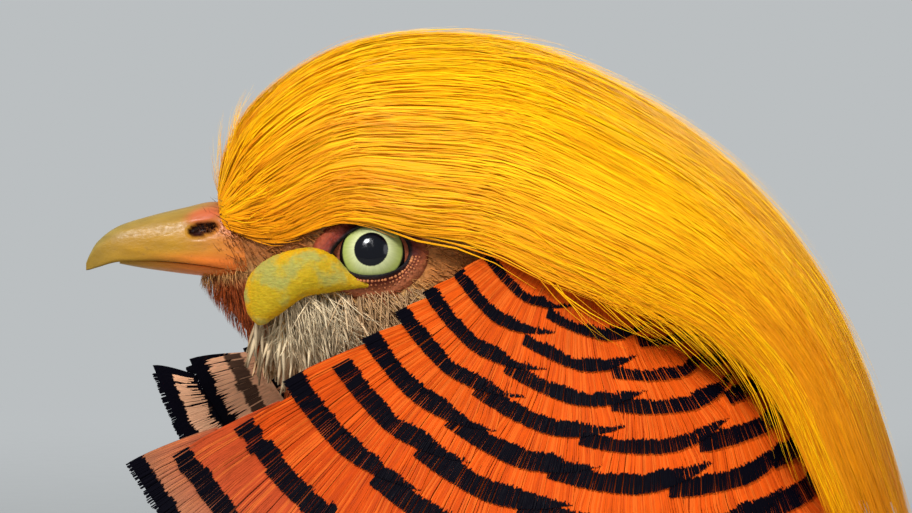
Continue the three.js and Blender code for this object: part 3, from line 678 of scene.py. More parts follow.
def eye_look():
    """Place gives the point on the iris's disc, in millimetres from its middle."""
    look = Look("eye", Coat_Weight=0.3, Coat_Roughness=0.02, Specular_IOR_Level=0.12)
    a, b, _ = look.split(look.read("Place"))
    radius = look.calc("POWER", look.add(look.calc("POWER", a, 2.0), look.calc("POWER", b, 2.0)), 0.5)
    turn = look.calc("ARCTAN2", b, a)
    spokes = look.node("CombineXYZ", {0: look.times(turn, 9.0), 1: radius, 2: 0.0}).outputs[0]
    fibres = look.noise(spokes, 1.6, (1, 0.5, 1), 3.0)
    iris = look.blend(look.ramp(radius, PUPIL_RADIUS, IRIS_RADIUS), IRIS_INNER, IRIS_OUTER)
    iris = look.shade(iris, look.spread(fibres, 0.9, 1.06))
    pupil_edge = look.add(radius, look.spread(fibres, -0.05, 0.05))
    iris = look.blend(look.ramp(pupil_edge, PUPIL_RADIUS - 0.06, PUPIL_RADIUS + 0.1), PUPIL, iris)
    colour = look.blend(look.ramp(radius, IRIS_RADIUS - 0.12, IRIS_RADIUS + 0.15), iris, IRIS_RIM)
    look.bump(fibres, 0.00005, 0.3)
    return look.finish(colour, look.spread(fibres, 0.1, 0.16))


SKY_COLOUR, SKY_STRENGTH = (0.80, 0.84, 0.86), 0.62
FLOOR_SPECULAR = 0.2


def floor_look():
    """A pale floor that turns into the sky's own light far from the bird, so that no horizon shows."""
    look = Look("pale_floor")
    place = look.node("TexCoord").outputs["Object"]
    grain = look.noise(place, 40.0, detail=4.0)
    look.bump(grain, 0.0004, 0.15)
    away = look.ramp(look.node("VectorMath", {0: place}, operation="LENGTH").outputs["Value"], 1.2, 7.0)
    look.put((*SKY_COLOUR, 1), look.shader.inputs["Emission Color"])
    look.put(look.times(away, SKY_STRENGTH), look.shader.inputs["Emission Strength"])
    specular = look.calc("SUBTRACT", FLOOR_SPECULAR, look.times(away, FLOOR_SPECULAR))
    look.put(specular, look.shader.inputs["Specular IOR Level"])
    colour = look.shade(rgb(172, 173, 170), look.ramp(grain, 0.3, 0.7, 0.97, 1.02))
    return look.finish(look.blend(away, colour, (0, 0, 0)), look.ramp(grain, 0.3, 0.7, 0.7, 0.85))


# The camera looks at the bird's left side, a little from ahead and from above.
CAMERA_AZIMUTH, CAMERA_HEIGHT = math.radians(-2), math.radians(1.2)
MM_PER_PIXEL, PHOTO_WIDTH, PHOTO_MIDDLE, EYE_PIXEL = 0.15, 912, (456, 256.5), (371, 249)
LENS, SENSOR = 300.0, 36.0


def aimed(thing, way):
    """Links a camera or light, and turns it to look that way."""
    bpy.context.scene.collection.objects.link(thing)
    thing.rotation_mode = "QUATERNION"
    thing.rotation_quaternion = mathutils.Vector(way).to_track_quat("-Z", "Y")


def camera():
    data = bpy.data.cameras.new("camera")
    data.lens, data.sensor_width = LENS, SENSOR
    data.clip_start, data.clip_end = 0.05, 60
    made = bpy.data.objects.new("camera", data)
    a, e = CAMERA_AZIMUTH, CAMERA_HEIGHT
    back = np.array([math.sin(a) * math.cos(e), -math.cos(a) * math.cos(e), math.sin(e)])
    right = unit(np.cross([0, 0, 1], back))
    up = np.cross(back, right)
    eye = EYE + [SHIFT, -CORNEA_OUT, 0]
    across, down = np.array(EYE_PIXEL) - PHOTO_MIDDLE
    aim = eye - MM_PER_PIXEL * (across * right - down * up)
    distance = MM_PER_PIXEL * PHOTO_WIDTH * LENS / SENSOR
    made.location = (aim + back * distance) / 1000
    aimed(made, -back)
    bpy.context.scene.camera = made


# Each light's name, place and size in metres, and power
LIGHTS = [
    ("key", (-1.5, -1.7, 2.1), 0.6, 80),
    ("fill", (1.6, -2.2, 1.2), 1.8, 22),
    ("rim", (0.9, 1.9, 2.2), 1.4, 30),
]


def studio():
    """A wide pale floor, an even pale sky, and large soft lights that look at the bird's breast."""
    bpy.ops.mesh.primitive_plane_add(size=40, location=(0, 0, 0))
    floor = bpy.context.object
    floor.name = "floor"
    floor.data.materials.append(floor_look())
    world = bpy.data.worlds.new("sky")
    bpy.context.scene.world = world
    world.use_nodes = True
    world.node_tree.nodes["Background"].inputs["Color"].default_value = (*SKY_COLOUR, 1)
    world.node_tree.nodes["Background"].inputs["Strength"].default_value = SKY_STRENGTH
    for name, place, size, power in LIGHTS:
        data = bpy.data.lights.new(name, "AREA")
        data.shape, data.size, data.energy = "DISK", size, power
        light = bpy.data.objects.new(name, data)
        light.location = place
        aimed(light, mathutils.Vector((EYE[0] + SHIFT, 0, EYE[2] - 60)) / 1000 - light.location)
    bpy.context.scene.view_settings.view_transform = "Standard"


# The crest
CREST_YELLOW, CREST_LEMON, CREST_AMBER = rgb(250, 185, 0), rgb(255, 208, 12), rgb(224, 138, 0)
LOCK_STRANDS, LOCK_STEPS = 19, 5
LOCK_SPREAD = 0.075  # half a lock's width at its root, in shares of a side
# Loose hairs at the forehead, along the outline, and over the cape below the crest's edges: where they grow
# along the crest and across it, how long and how high they are, how many, and how far they drift down to
# the side.
CREST_WISPS = [
    ((0.0, 0.07), (-0.9, 0.9), (6, 12), (1.2, 3.4), 70, 0.0),
    ((0.06, 0.7), (-0.4, 0.4), (22, 42), (0.7, 2.2), 170, 0.0),
    ((0.3, 0.42), (-0.3, 0.3), (14, 24), (1.0, 2.4), 60, 0.0),
    ((0.38, 0.86), (0.84, 1.0), (24, 46), (0.3, 1.4), 240, 0.08),
    ((0.38, 0.86), (-1.0, -0.84), (24, 46), (0.3, 1.4), 240, -0.08),
    ((0.42, 0.7), (0.9, 1.0), (26, 44), (0.2, 0.9), 110, 0.24),
    ((0.42, 0.7), (-1.0, -0.9), (26, 44), (0.2, 0.9), 110, -0.24),
]
WISP_STEPS = 7


def crest_tint(shade, f):
    """Golden, from amber to lemon by the shade from 0 to 1. The shade holds painted shade and painted
    highlight as well as each strand's own tone. The roots are deeper, as painted shade under the strands that
    lie over them.
    """
    body = mix(CREST_AMBER, CREST_YELLOW, np.clip(shade * 1.9, 0, 1))
    # Painted highlight: the highest shade turns lemon.
    body = mix(body, CREST_LEMON, np.clip(shade * 2 - 1.1, 0, 1))
    # Painted shade: the roots, under the other strands, take a deeper amber.
    return mix(mix(CREST_AMBER, body, 0.6), body, smooth(f * 1.6))


def crest_locks(side_from, side_to, locks):
    """Silky locks that run back over the head, each of many strands that draw together towards its tip."""
    t = draw.uniform(0, 1, locks) ** 0.9 * 0.74
    side = draw.uniform(side_from, side_to, locks)
    t, side = np.repeat(t, LOCK_STRANDS), np.repeat(side, LOCK_STRANDS)
    n = len(t)
    spread = draw.uniform(-1, 1, n)
    # Each lock's length, turn, height and shade
    own = np.repeat(draw.normal(0, 1, (locks, 4)), LOCK_STRANDS, 0)
    root_t = np.clip(t + draw.uniform(-0.05, 0.05, n), 0.0, 0.78)
    length = mix(13, 52, fade(root_t, 0, 0.22)) * (1 + 0.12 * own[:, 0] + draw.uniform(-0.12, 0.12, n))
    tip_t = np.minimum(root_t + length / CREST_LENGTH, 0.985 + 0.015 * draw.uniform(-1, 1, n))
    root_side = side + spread * LOCK_SPREAD
    tip_side = side + spread * LOCK_SPREAD * 0.5 + own[:, 1] * 0.012 + draw.normal(0, 0.006, n)
    fall = fade(np.abs(side), 0.6, 1) * fade(tip_t, 0.4, 0.5)
    tip_side = tip_side + np.sign(side) * fall * draw.uniform(0, 0.09, n)
    root_side, tip_side = np.clip(root_side, -1, 1), np.clip(tip_side, -1.1, 1.1)
    top = 0.3 + 0.16 * own[:, 2] + 0.25 * (1 - spread ** 2) + draw.normal(0, 0.07, n)
    half = draw.uniform(0.085, 0.15, n)
    # Painted light and shade in each strand's shade: lightest along the crest's top, darker towards amber at
    # its lower edges and hind tips, and darker at its front by the bill. Each lock and strand also varies at
    # random in tone.
    shade = 0.8 - 0.54 * np.abs(side) ** 1.5 - 0.4 * fade(t, 0.14, 0.02) + 0.14 * own[:, 3]
    shade = shade[:, None, None] + draw.normal(0, 0.12, (n, 1, 1))
    f = np.linspace(0, 1, LOCK_STEPS + 1)[:, None]
    # Painted shade towards the hind tips.
    shade = np.clip(shade - 0.6 * fade(mix(root_t[:, None, None], tip_t[:, None, None], f), 0.5, 0.9), 0, 1)
    root, tip, lift = stacked(root_t, root_side), stacked(tip_t, tip_side), stacked(-0.6, top - 0.4, top)
    return lay(crest, root, tip, lift, half,
               crest_tint(shade, f), steps=LOCK_STEPS, wave=0.008, thick=0.18)


def crest_wisps(t_range, side_range, lengths, heights, count, fall):
    t, side = draw.uniform(*t_range, count), draw.uniform(*side_range, count)
    tip_t = np.minimum(t + draw.uniform(*lengths, count) / CREST_LENGTH, 1.0)
    tip_side = side + fall * draw.uniform(0.2, 1.3, count) + draw.normal(0, 0.02, count)
    high = draw.uniform(*heights, count)
    # Painted shade: the wisps that fall over the cape stay darker, and the rest are lighter. All of them also
    # vary at random in tone.
    shade = draw.uniform(0.1, 0.8, count) + 0.2 * (fall == 0)
    tint = crest_tint(shade[:, None, None], np.linspace(0, 1, WISP_STEPS + 1)[:, None])
    return lay(crest, stacked(t, side), stacked(tip_t, tip_side), stacked(-0.6, 0.4 + 0.3 * high, high),
               draw.uniform(0.05, 0.09, count), tint, steps=WISP_STEPS, wave=0.02)


def crest_pieces():
    look = Plumes("golden_plumes", depth=0.1, rough=(0.4, 0.6), Specular_IOR_Level=0.12).done()
    t, side = (values[None] for values in grid(np.linspace(0.01, 0.95, 40), np.linspace(-0.98, 0.98, 41)))
    # Painted shade: the core under the locks is a deeper gold than the strands and shows in the gaps between
    # them.
    core = slabs(crest(t, side, -0.35), crest(t, side, -2.0), mix(CREST_AMBER, CREST_YELLOW, 0.5),
                 stacked(side * 40, t * CREST_LENGTH, 0), stacked((side + 1) / 2, t) * 0.9)
    piece("crest_core", core, look, ["crest"])
    for name, low, high in (("left", -1.0, 0.0), ("right", 0.0, 1.0)):
        for layer, locks in (("under", 170), ("over", 230)):
            piece(f"crest_{name}_{layer}", crest_locks(low, high, locks), look, soft=False)
    wisps = joined([crest_wisps(*row) for row in CREST_WISPS])
    piece("crest_wisps", wisps, look, soft=False)


# The cape: rows of broad feathers with dark ends. Each row has where its tips are, its height over the
# cape's base, how many feathers it has, and how far back its front feather stands.
CAPE_TIERS = [
    (91.4, -1.6, 16, -1.6),
    (84.6, -1.15, 15, -0.4),
    (74.8, -0.7, 14, 1.7),
    (65.2, -0.25, 12, -0.2),
    (58.2, 0.2, 11, 2.0),
    (52.0, 0.65, 10, 0.8),
    (46.0, 1.1, 9, -0.3),
    (40.6, 1.55, 8, -0.9),
    (35.6, 2.0, 8, -0.5),
    (30.8, 2.45, 7, -0.3),
]
CAPE_ORANGE, CAPE_LIGHT = rgb(210, 79, 13), rgb(222, 104, 33)
CAPE_DEEP, CAPE_PALE = rgb(174, 56, 13), rgb(152, 112, 84)
# The undersides' colour: paler, as feather undersides are, and made lighter still as painted light against
# the shade they lie in.
CAPE_LINING = rgb(244, 190, 150)  # the undersides
PALE_FRONTS = [0.85, 0.2]  # how pale the front feathers of the first rows are
# The outer rows, whose front feathers are loose, and which show their undersides on the far side
LOOSE_ROWS = 3
CAPE_HALF = 0.7  # half a feather's width, in shares of the distance between neighbours
# How much higher a feather's hind edge is than its middle, and how far its tip drops
CAPE_LEAN, CAPE_DROOP = 0.1, 0.06
TIER_OVERLAP = 4.0  # how far a feather's bare part runs in under the next row
BARB_APART, BARB_STEPS, BARB_HALF = 0.17, 3, 0.125
BUNDLE = 9  # the barbs that stay together where a feather is loose
BAR_SWEEP = 3.7  # how far a feather's end runs up towards the root at its hind edge
RIGHT_CORNER = 9.0  # how much shorter the outer rows are at the right front
WEB_ROWS = 9


def even_sides(count, reach, start):
    """Places round the cape's edge, evenly apart, and the distance between them."""
    side = np.linspace(-1, 1, 401)
    edge = cape_base(np.full(401, float(reach)), side)
    run = np.concatenate([[0], np.cumsum(np.linalg.norm(np.diff(edge, axis=0), axis=-1))])
    width = run[-1] / count
    inset = width * CAPE_HALF
    places = np.linspace(inset, run[-1] - inset, count)
    places = places + start * (np.linspace(1, 0, count) ** 2 - np.linspace(0, 1, count) ** 2)
    return np.interp(places, run, side), width


def narrowed(share):
    """A cape feather's width at a share of its length, against its width at the tip."""
    return 1 - 0.22 * (1 - share) ** 1.5


def cape_tier(number):
    """One row: over a thin web, barbs that run nearly along the shaft, and draw a little nearer to it at
    their roots."""
    tip, lift, n, start = CAPE_TIERS[number]
    next_tip = CAPE_TIERS[number + 1][0] if number + 1 < len(CAPE_TIERS) else CAPE_ROOT + 4
    side, width = even_sides(n, tip - 3, start)
    side = side + draw.normal(0, 0.002, n)
    half = width * CAPE_HALF
    length = tip - next_tip + TIER_OVERLAP * (2 if number < 5 else 1)
    reach = tip + draw.normal(0, 0.2, n)
    hindward = -np.sign(side)
    own = varied(mix(CAPE_DEEP, CAPE_ORANGE, smooth(number / 5)), n, 0.04, 0.03)
    bar = mix(1.45, 3.0, fade(tip, 30, 60)) * draw.uniform(0.92, 1.08, n)
    pale_most = PALE_FRONTS[number] if number < len(PALE_FRONTS) else 0.0
    pale_at = lambda places: fade(np.abs(places), 0.55, 0.9)
    per_side = along_side(tip, side)[:, None]

    def cut_at(share):
        """How much shorter a feather is at shares of its half width: swept at its hind edge, and at the
        right front."""
        swept = BAR_SWEEP * np.clip((hindward[:, None] * share + 0.1) / 1.1, 0, 1) ** 1.5
        right = fade(side[:, None] + share * half / per_side, 0.72, 1.02)
        return swept + RIGHT_CORNER * (tip / CAPE_TIERS[0][0]) ** 2 * right

    # Each barb's place across its feather, and how much its end is cut; near the front edges the outer
    # feathers' barbs part in small bundles.
    barbs = int(2 * half / BARB_APART)
    each = (n, barbs, 1)
    f = np.linspace(0, 1, BARB_STEPS + 1)
    share = np.linspace(-1, 1, barbs)[None, :, None] + draw.normal(0, 0.006, each)
    hind = hindward[:, None, None] * share
    loose = (number < LOOSE_ROWS) * fade(np.abs(side), 0.5, 0.8)
    bundle = np.arange(barbs) // BUNDLE
    ends = cut_at(share[..., 0])[..., None] + draw.uniform(-0.1, 0.1, each)
    ends = ends + loose[:, None, None] * draw.normal(0, 0.2, (n, bundle[-1] + 1, 1))[:, bundle]
    middle_of_bundle = (-1 + (bundle + 0.5) * 2 * BUNDLE / barbs)[None, :, None]
    share = share + 0.1 * loose[:, None, None] * (middle_of_bundle - share) * f ** 3
    back = mix(length * draw.uniform(0.86, 1.0, each), ends, f)
    at_reach = reach[:, None, None] - back
    middle = np.broadcast_to(side[:, None, None], at_reach.shape)
    at_side = middle + share * half * at_reach / tip * narrowed(f) / along_side(at_reach, middle)
    droop = CAPE_DROOP * np.clip(1 - back / 8, 0, 1)
    height = lift + 0.25 + CAPE_LEAN * hind - droop + draw.normal(0, 0.015, each)
    from_tip = back - ends + draw.normal(0, 0.07, each)
    place = stacked(hind * HIND_SCALE, from_tip, bar[:, None, None])
    tone = draw.uniform(0, 1, (*each, 1))
    tint = mix(mix(own[:, None, None, :], CAPE_DEEP, 0.4 * (tone < 0.22)), CAPE_LIGHT, 0.5 * (tone > 0.72))
    tint = painted(tint, (CAPE_PALE, pale_at(middle) * (1 - 0.5 * fade(back, 0, 9)) * pale_most))
    inside = stacked(0.5 + 0.45 * np.clip(share, -1, 1), 0.95 - 0.9 * np.clip(back / length, 0, 1))
    bake = cell_bake(inside, n, n)

    def barbs_of(chosen, height, tint, up, place):
        flat = lambda values: values[chosen].reshape(-1, *values.shape[2:])
        centre = cape(at_reach, at_side, height)
        outward = flat(up * unit(cape(at_reach, at_side, height + 0.3) - centre))
        return strands(flat(centre), outward, np.full(len(outward), BARB_HALF), flat(tint), flat(place),
                       flat(bake)[:, :, None], point=0.75, thick=0.2)

    parts = [barbs_of(side < 2, height, tint, 1, place)]
    if number < LOOSE_ROWS:
        # The far side's undersides take the lining: their own paler colour with painted light.
        lining = mix(tint, CAPE_LINING, 0.75)
        parts.append(barbs_of(side > 0.6, height - 0.5, lining, -1, place + [0, 0, UNDERSIDE]))
    short = 0.3 + 0.5 * loose  # how far the web's end stays behind the barbs' ends
    f = np.linspace(0, 1, WEB_ROWS)
    outline = mix(1 - length / tip, 1, f) * narrowed(f)
    # Painted shade: the web, which shows in the gaps between the barbs, is darker than its feather.
    web_tint = painted(own * 0.85, (CAPE_PALE, pale_at(side) * pale_most * 0.7))
    web = vanes(cape, stacked(reach - length, side), stacked(reach - short, side),
                half * 0.985, outline, lift, web_tint,
                rise=-0.3, tilt=hindward * CAPE_LEAN, rows=WEB_ROWS, across=9, thick=0.2,
                cut=cut_at(np.linspace(-1, 1, 9)[None]))
    per_web = len(web.points) // n
    hind = web.place[:, 0] * np.repeat(hindward, per_web) / half
    from_tip = web.place[:, 1] + np.repeat(short, per_web)
    web.place = stacked(hind * HIND_SCALE, from_tip, np.repeat(bar, per_web))
    upper = np.tile(np.repeat([True, False], 9), len(web.points) // 18)[:, None]
    # The web's lower face takes the lining: its own paler colour with painted light.
    web.tint = np.where(upper, web.tint, mix(web.tint, CAPE_LINING, 0.8))
    return joined([web] + parts)


def cape_pieces():
    look = barred_look()
    for name, rows, replaced in [
        ("cape_outer", (0, 1), ["cape"]), ("cape_lower", (2, 3), []),
        ("cape_middle", (4, 5, 6), []), ("cape_inner", (7, 8, 9), []),
    ]:
        piece(name, joined([cape_tier(row) for row in rows]), look, replaced, soft=False)


# The plumage's colours
RUST, LORE, EAR = rgb(156, 70, 28), rgb(164, 98, 46), rgb(192, 120, 60)
BUFF, CREAM, EYE_RING = rgb(206, 158, 96), rgb(228, 196, 142), rgb(142, 70, 40)
SCARLET, GOLD, GREEN, BLUE = rgb(206, 22, 6), rgb(246, 168, 10), rgb(24, 96, 50), rgb(16, 34, 96)
NAPE_AMBER, VENT, FLANK = rgb(232, 120, 20), rgb(112, 62, 34), rgb(176, 44, 18)


def face_tint(points):
    """The short feathers' colour anywhere on the head and the top of the throat."""
    x, _, z = columns(points - EYE)
    return painted(
        np.broadcast_to(BUFF, points.shape),
        (CREAM, fade(z, -7, -12)),
        (EAR, fade(x, 3, 9) * fade(z, -8, -4)),
        (LORE, fade(x, -5, -10) * fade(z, -5, -1)),
        (RUST, fade(x, -14, -17) * fade(z, -3, -6)),
        (EYE_RING, fade(np.hypot(x, z), 8.4, 6.8)),
    )


def body_tint(s, angle):
    """The plumage's colour on the neck and trunk."""
    turn = from_back(angle)
    return painted(
        np.broadcast_to(SCARLET, (*np.shape(s), 3)),
        (RUST, fade(s, 0.22, 0.16)),
        (NAPE_AMBER, fade(s, 0.33, 0.29) * fade(turn, 60, 50)),
        (GREEN, fade(s, 0.3, 0.32) * fade(turn, 72, 64)),
        (GOLD, fade(s, 0.47, 0.49) * fade(turn, 58, 50)),
        (FLANK, fade(s, 0.6, 0.7) * fade(turn, 95, 110) * 0.5),
        (VENT, fade(s, 0.84, 0.9) * fade(turn, 105, 125)),
    )


LINE_S = np.linspace(0, 1, 140)
LINE_ROWS = trunk_rows(LINE_S)


def trunk_place(points):
    """The share along the trunk and the angle round it of points near its surface."""
    x, y, z = columns(points - EYE)
    near = np.argmin(np.hypot(x[:, None] - LINE_ROWS[:, 0], z[:, None] - LINE_ROWS[:, 1]), 1)
    line_x, line_z, depth, width = LINE_ROWS[near].T
    dx, dz = off_curve(trunk_rows, LINE_S[near], 1.0)
    up = (x - line_x) * dx + (z - line_z) * dz
    return LINE_S[near], np.arctan2(y / width, up / depth)


def full_ring(onto, t_values, sides, lift):
    """One tube of rings all round a surface."""
    t, angle = grid(t_values, turns(sides))
    return onto(t, angle, lift)[None]


SKIN_VOXEL = 0.0012
HEAD_SKIN_DEPTH, BODY_SKIN_DEPTH = -0.4, -1.0


def skin_piece():
    """One skin for the head, neck, trunk and thighs, which lies inside the solids by the coat's depth."""
    def blank(onto, rings, sides, lift):
        return tubes(full_ring(onto, np.linspace(0, 1, rings), sides, lift), 0, 0, 0)

    left_thigh = blank(thigh, 20, 28, BODY_SKIN_DEPTH)
    shape = joined([blank(trunk, 70, 60, BODY_SKIN_DEPTH), blank(head, 40, 48, HEAD_SKIN_DEPTH),
                    left_thigh, mirrored(left_thigh)])
    nodes = ["head", "neck", "torso", "thigh_left", "thigh_right"]
    made = piece("skin", shape, skin_look(), nodes)
    remesh = made.modifiers.new("remesh", "REMESH")
    remesh.mode, remesh.voxel_size = "VOXEL", SKIN_VOXEL
    made.modifiers.new("ease", "SMOOTH").iterations = 8
    solid = bpy.data.meshes.new_from_object(made.evaluated_get(bpy.context.evaluated_depsgraph_get()))
    made.modifiers.clear()
    old, made.data = made.data, solid
    bpy.data.meshes.remove(old)
    for name in ("Tint", "Place"):
        if name in solid.attributes:
            solid.attributes.remove(solid.attributes[name])
    points = np.empty(len(solid.vertices) * 3)
    solid.vertices.foreach_get("co", points)
    points = points.reshape(-1, 3) * 1000 - [SHIFT, 0, 0]
    x, _, z = columns(points - EYE)
    on_head = fade(z, -26, -21) * fade(x, 26, 21)
    # Painted shade: the skin under the coat takes the plumage's colours, darkened.
    tint = mix(body_tint(*trunk_place(points)) * 0.8, face_tint(points) * 0.85, on_head[:, None])
    put_colours(solid, tint, points)
    solid.polygons.foreach_set("use_smooth", np.ones(len(solid.polygons), bool))
    while solid.uv_layers:
        solid.uv_layers.remove(solid.uv_layers[0])
    solid.uv_layers.new(name="OFBake")
    bpy.ops.object.select_all(action="DESELECT")
    bpy.context.view_layer.objects.active = made
    made.select_set(True)
    bpy.ops.object.mode_set(mode="EDIT")
    bpy.ops.mesh.select_all(action="SELECT")
    bpy.ops.uv.smart_project(angle_limit=math.radians(66), island_margin=0.002)
    bpy.ops.object.mode_set(mode="OBJECT")


# The bill: rows of a place along X from the eye, its top and bottom, and its half width
upper_bill_rows = track([
    [-BILL_LENGTH, -2.4, -3.0, 0.15],
    [-42.3, -1.0, -2.9, 0.6],
    [-41.0, 1.0, -2.5, 1.2],
    [-38, 3.2, -1.7, 2.2],
    [-33, 4.8, -1.5, 3.4],
    [-28, 6.0, -1.8, 4.5],
    [-23.5, 6.9, -2.4, 5.5],
    [-19, 6.0, -3.1, 6.4],
    [-16, 2.4, -3.6, 6.6],
])
lower_bill_rows = track([
    [-37.8, -2.1, -2.5, 0.8],
    [-34, -2.0, -3.2, 2.2],
    [-29, -2.3, -3.9, 3.4],
    [-24, -2.9, -4.5, 4.6],
    [-19.5, -3.6, -5.2, 5.6],
    [-16.6, -4.1, -5.6, 5.6],
])
BILL_SHOWN = 27  # how much of its length the coat leaves bare
BILL_STATIONS, BILL_ARCH, BILL_FLAT = 90, 56, 8
NOSTRIL_X, NOSTRIL_Z, NOSTRIL_SLOPE, NOSTRIL_LONG, NOSTRIL_TALL = -25.2, 2.9, 0.22, 2.5, 1.05
BILL_TIP, BILL_SIDE = rgb(136, 106, 34), rgb(160, 116, 26)
BILL_BASE, BILL_CHIN = rgb(196, 104, 34), rgb(204, 104, 26)
BILL_RIDGE, CERE, GAPE = rgb(138, 122, 64), rgb(184, 84, 52), rgb(218, 104, 30)
# NOSTRIL_DARK is painted shade inside the nostril's slit.
NOSTRIL_RIM, NOSTRIL_DARK = rgb(184, 74, 50), rgb(46, 16, 12)


def bill_half(rows, lower):
    """Half of the bill: an arch over its biting side, with the nostril's slit pressed into the upper half."""
    x, top, bottom, width = columns(rows(1 - np.linspace(1, 0, BILL_STATIONS) ** 0.9)[:, None])
    flat, arch = (top, bottom) if lower else (bottom, top)
    angle = np.radians(np.linspace(-90, 90, BILL_ARCH))
    over = mix(flat, arch, np.maximum(np.cos(angle), 0) ** 0.8)
    inner = np.linspace(1, -1, BILL_FLAT + 2)[1:-1]
    sag = 0.35 * (1 - inner ** 2) * (-1 if lower else 1)
    y = width * np.concatenate([np.sin(angle), inner])
    z = np.concatenate([over, flat + sag * np.minimum(width / 3, 1)], 1)
    x = np.broadcast_to(x, y.shape)
    along = np.clip((x + BILL_LENGTH) / BILL_SHOWN, 0, 1)
    ridge = np.clip((z - flat) / (arch - flat), 0, 1)
    tint = painted(BILL_TIP, (BILL_SIDE, smooth(along * 3)), (BILL_BASE, fade(along, 0.45, 0.95) * 0.9))
    if lower:
        tint = painted(tint, (BILL_CHIN, fade(along, 0.2, 0.7)))
    else:
        ahead = (x - NOSTRIL_X) / NOSTRIL_LONG
        above = (z - NOSTRIL_Z - (x - NOSTRIL_X) * NOSTRIL_SLOPE) / NOSTRIL_TALL
        on_side = np.abs(y) > 1.2
        hole = fade(ahead ** 2 + above ** 2, 1, 0.45) * on_side
        bulge = fade(np.hypot(ahead, above - 1.9), 1.5, 0.5) * on_side
        tint = painted(
            tint,
            (BILL_RIDGE, fade(ridge, 0.6, 1) * (1 - along * 0.4) * 0.75),
            (CERE, fade(along, 0.6, 0.9) * fade(ridge, 0.4, 0.7) * 0.85),
            (GAPE, fade(ridge, 0.25, 0.05) * fade(along, 0.25, 0.75) * 0.8),
            (NOSTRIL_RIM, bulge * 0.7),
            # Painted shade: the nostril's slit, pressed in only a little, is painted nearly black.
            (NOSTRIL_DARK, smooth(hole * 1.6)),
        )
        y = y - np.sign(y) * (1.7 * hole - 0.35 * bulge)
        z = z - 0.5 * (1 - ridge) ** 2
    place = stacked(x, y, z)[None]
    return tubes(place + EYE, tint[None], place, sheet_bake(*y.shape))


def bill_pieces():
    look = bill_look()
    piece("bill_upper_horn", bill_half(upper_bill_rows, False), look, ["bill_upper"])
    piece("bill_lower_horn", bill_half(lower_bill_rows, True), look, ["bill_lower"])


# The eyes
EYE_ACROSS = unit(np.cross([0.0, 0.0, 1.0], EYE_TURN))  # towards the bird's tail
EYE_UP = np.cross(EYE_TURN, EYE_ACROSS)
LID_WIDE, LID_TALL = 5.35, 3.75
# The lid's section, which ends under the skin: distance out from its edge, and height over what it covers
LID_SECTION = [
    (0.0, 0.1), (0.06, 0.5), (0.3, 0.75), (0.6, 0.75), (0.95, 0.5), (1.35, 0.62), (1.8, 0.4),
    (2.3, 0.35), (2.9, 0.05), (3.5, -0.7), (3.0, -1.6), (1.6, -1.3), (0.5, -0.5),
]
LID_EDGE, LID_INNER, LID_OUTER = rgb(18, 11, 13), rgb(96, 34, 24), rgb(140, 68, 38)
LID_FRONT, LID_LOWER, BEAD = rgb(150, 54, 34), rgb(164, 96, 60), rgb(190, 116, 72)
# The rows of beads along the lower lid: how far off its edge, how many, their size and their height
BEAD_ROWS = [(0.85, 34, 0.24, 0.62), (1.35, 30, 0.2, 0.6), (1.85, 24, 0.17, 0.5)]


def eye_point(a, b, out):
    """A point by its places on the left eye's disc and its distance out from the eyeball's middle."""
    return EYE_MIDDLE + stacked(a, b, out) @ np.stack([EYE_ACROSS, EYE_UP, EYE_TURN])


def ball(stations, sides, ends):
    """Rings of points on a ball of radius 1, with their angles from its pole and round it."""
    theta, phi = grid(np.linspace(ends, math.pi - ends, stations), turns(sides))
    return stacked(np.sin(theta) * np.cos(phi), np.sin(theta) * np.sin(phi), np.cos(theta)), theta, phi


def eyeball():
    points, theta, phi = ball(70, 72, 0.01)
    a, b, out = columns(points) * (EYEBALL_RADIUS + 0.4 * fade(theta, 0.75, 0.25))
    disc = 0.5 + 0.48 * (theta / math.pi)[..., None] * stacked(np.cos(phi), np.sin(phi))
    return tubes(eye_point(a, b, out)[None], (0.8, 0.8, 0.5), stacked(a, b, 0)[None], disc[None])


def lid_place(phi, off, rise):
    """Places off the lid's edge, an almond that is longer and more pointed in front, by their rise over
    what they cover: the eyeball, or the skin further out."""
    front = np.maximum(-np.cos(phi), 0)
    a = LID_WIDE * np.cos(phi) * (1 + 0.1 * front ** 3)
    b = LID_TALL * np.sign(np.sin(phi)) * np.abs(np.sin(phi)) ** (1.0 + 0.25 * front) - 0.25 * front
    grow = 1 + off / np.hypot(a, b)
    a, b = a * grow, b * grow
    rho = np.hypot(a, b)
    on_ball = np.sqrt(np.maximum(EYEBALL_RADIUS ** 2 - rho ** 2, 1.0))
    on_skin = 4.1 - 0.06 * (a - 1) - 0.035 * b ** 2
    return a, b, mix(on_ball, on_skin, fade(rho, 4.3, 6.5)) + rise


def lid_ring():
    phi = turns(96)[:, None]
    off, rise = np.array(LID_SECTION).T
    a, b, out = lid_place(phi, off, rise)
    folds = 0.1 * np.sin(phi * 22 + off * 5) * fade(off, 0, 0.8)
    tint = painted(
        LID_EDGE,
        (LID_INNER, fade(off, 0.5, 0.9)),
        (LID_OUTER, fade(off, 1.2, 2.4)),
        (LID_FRONT, fade(off, 0.3, 0.8) * smooth(-np.cos(phi) * 3 - 1.6) * 0.4),
        (LID_LOWER, fade(off, 1.0, 2.0) * smooth(-np.sin(phi) * 1.5) * 0.6),
    )
    rings, place = eye_point(a, b, out + folds)[None], stacked(a, b, out)[None]
    return tubes(rings, tint[None], place, sheet_bake(*a.shape), wrap=True)


def beads(centres, radius, tint):
    """Small round beads."""
    points, theta, phi = ball(5, 7, 0.2)
    rings = centres[:, None, None, :] + radius[:, None, None, None] * points
    bake = cell_bake(0.05 + 0.9 * stacked(phi / 6.3, theta / 3.2), len(centres), len(centres))
    return tubes(rings, tint[:, None, None, :], centres[:, None, None, :], bake)


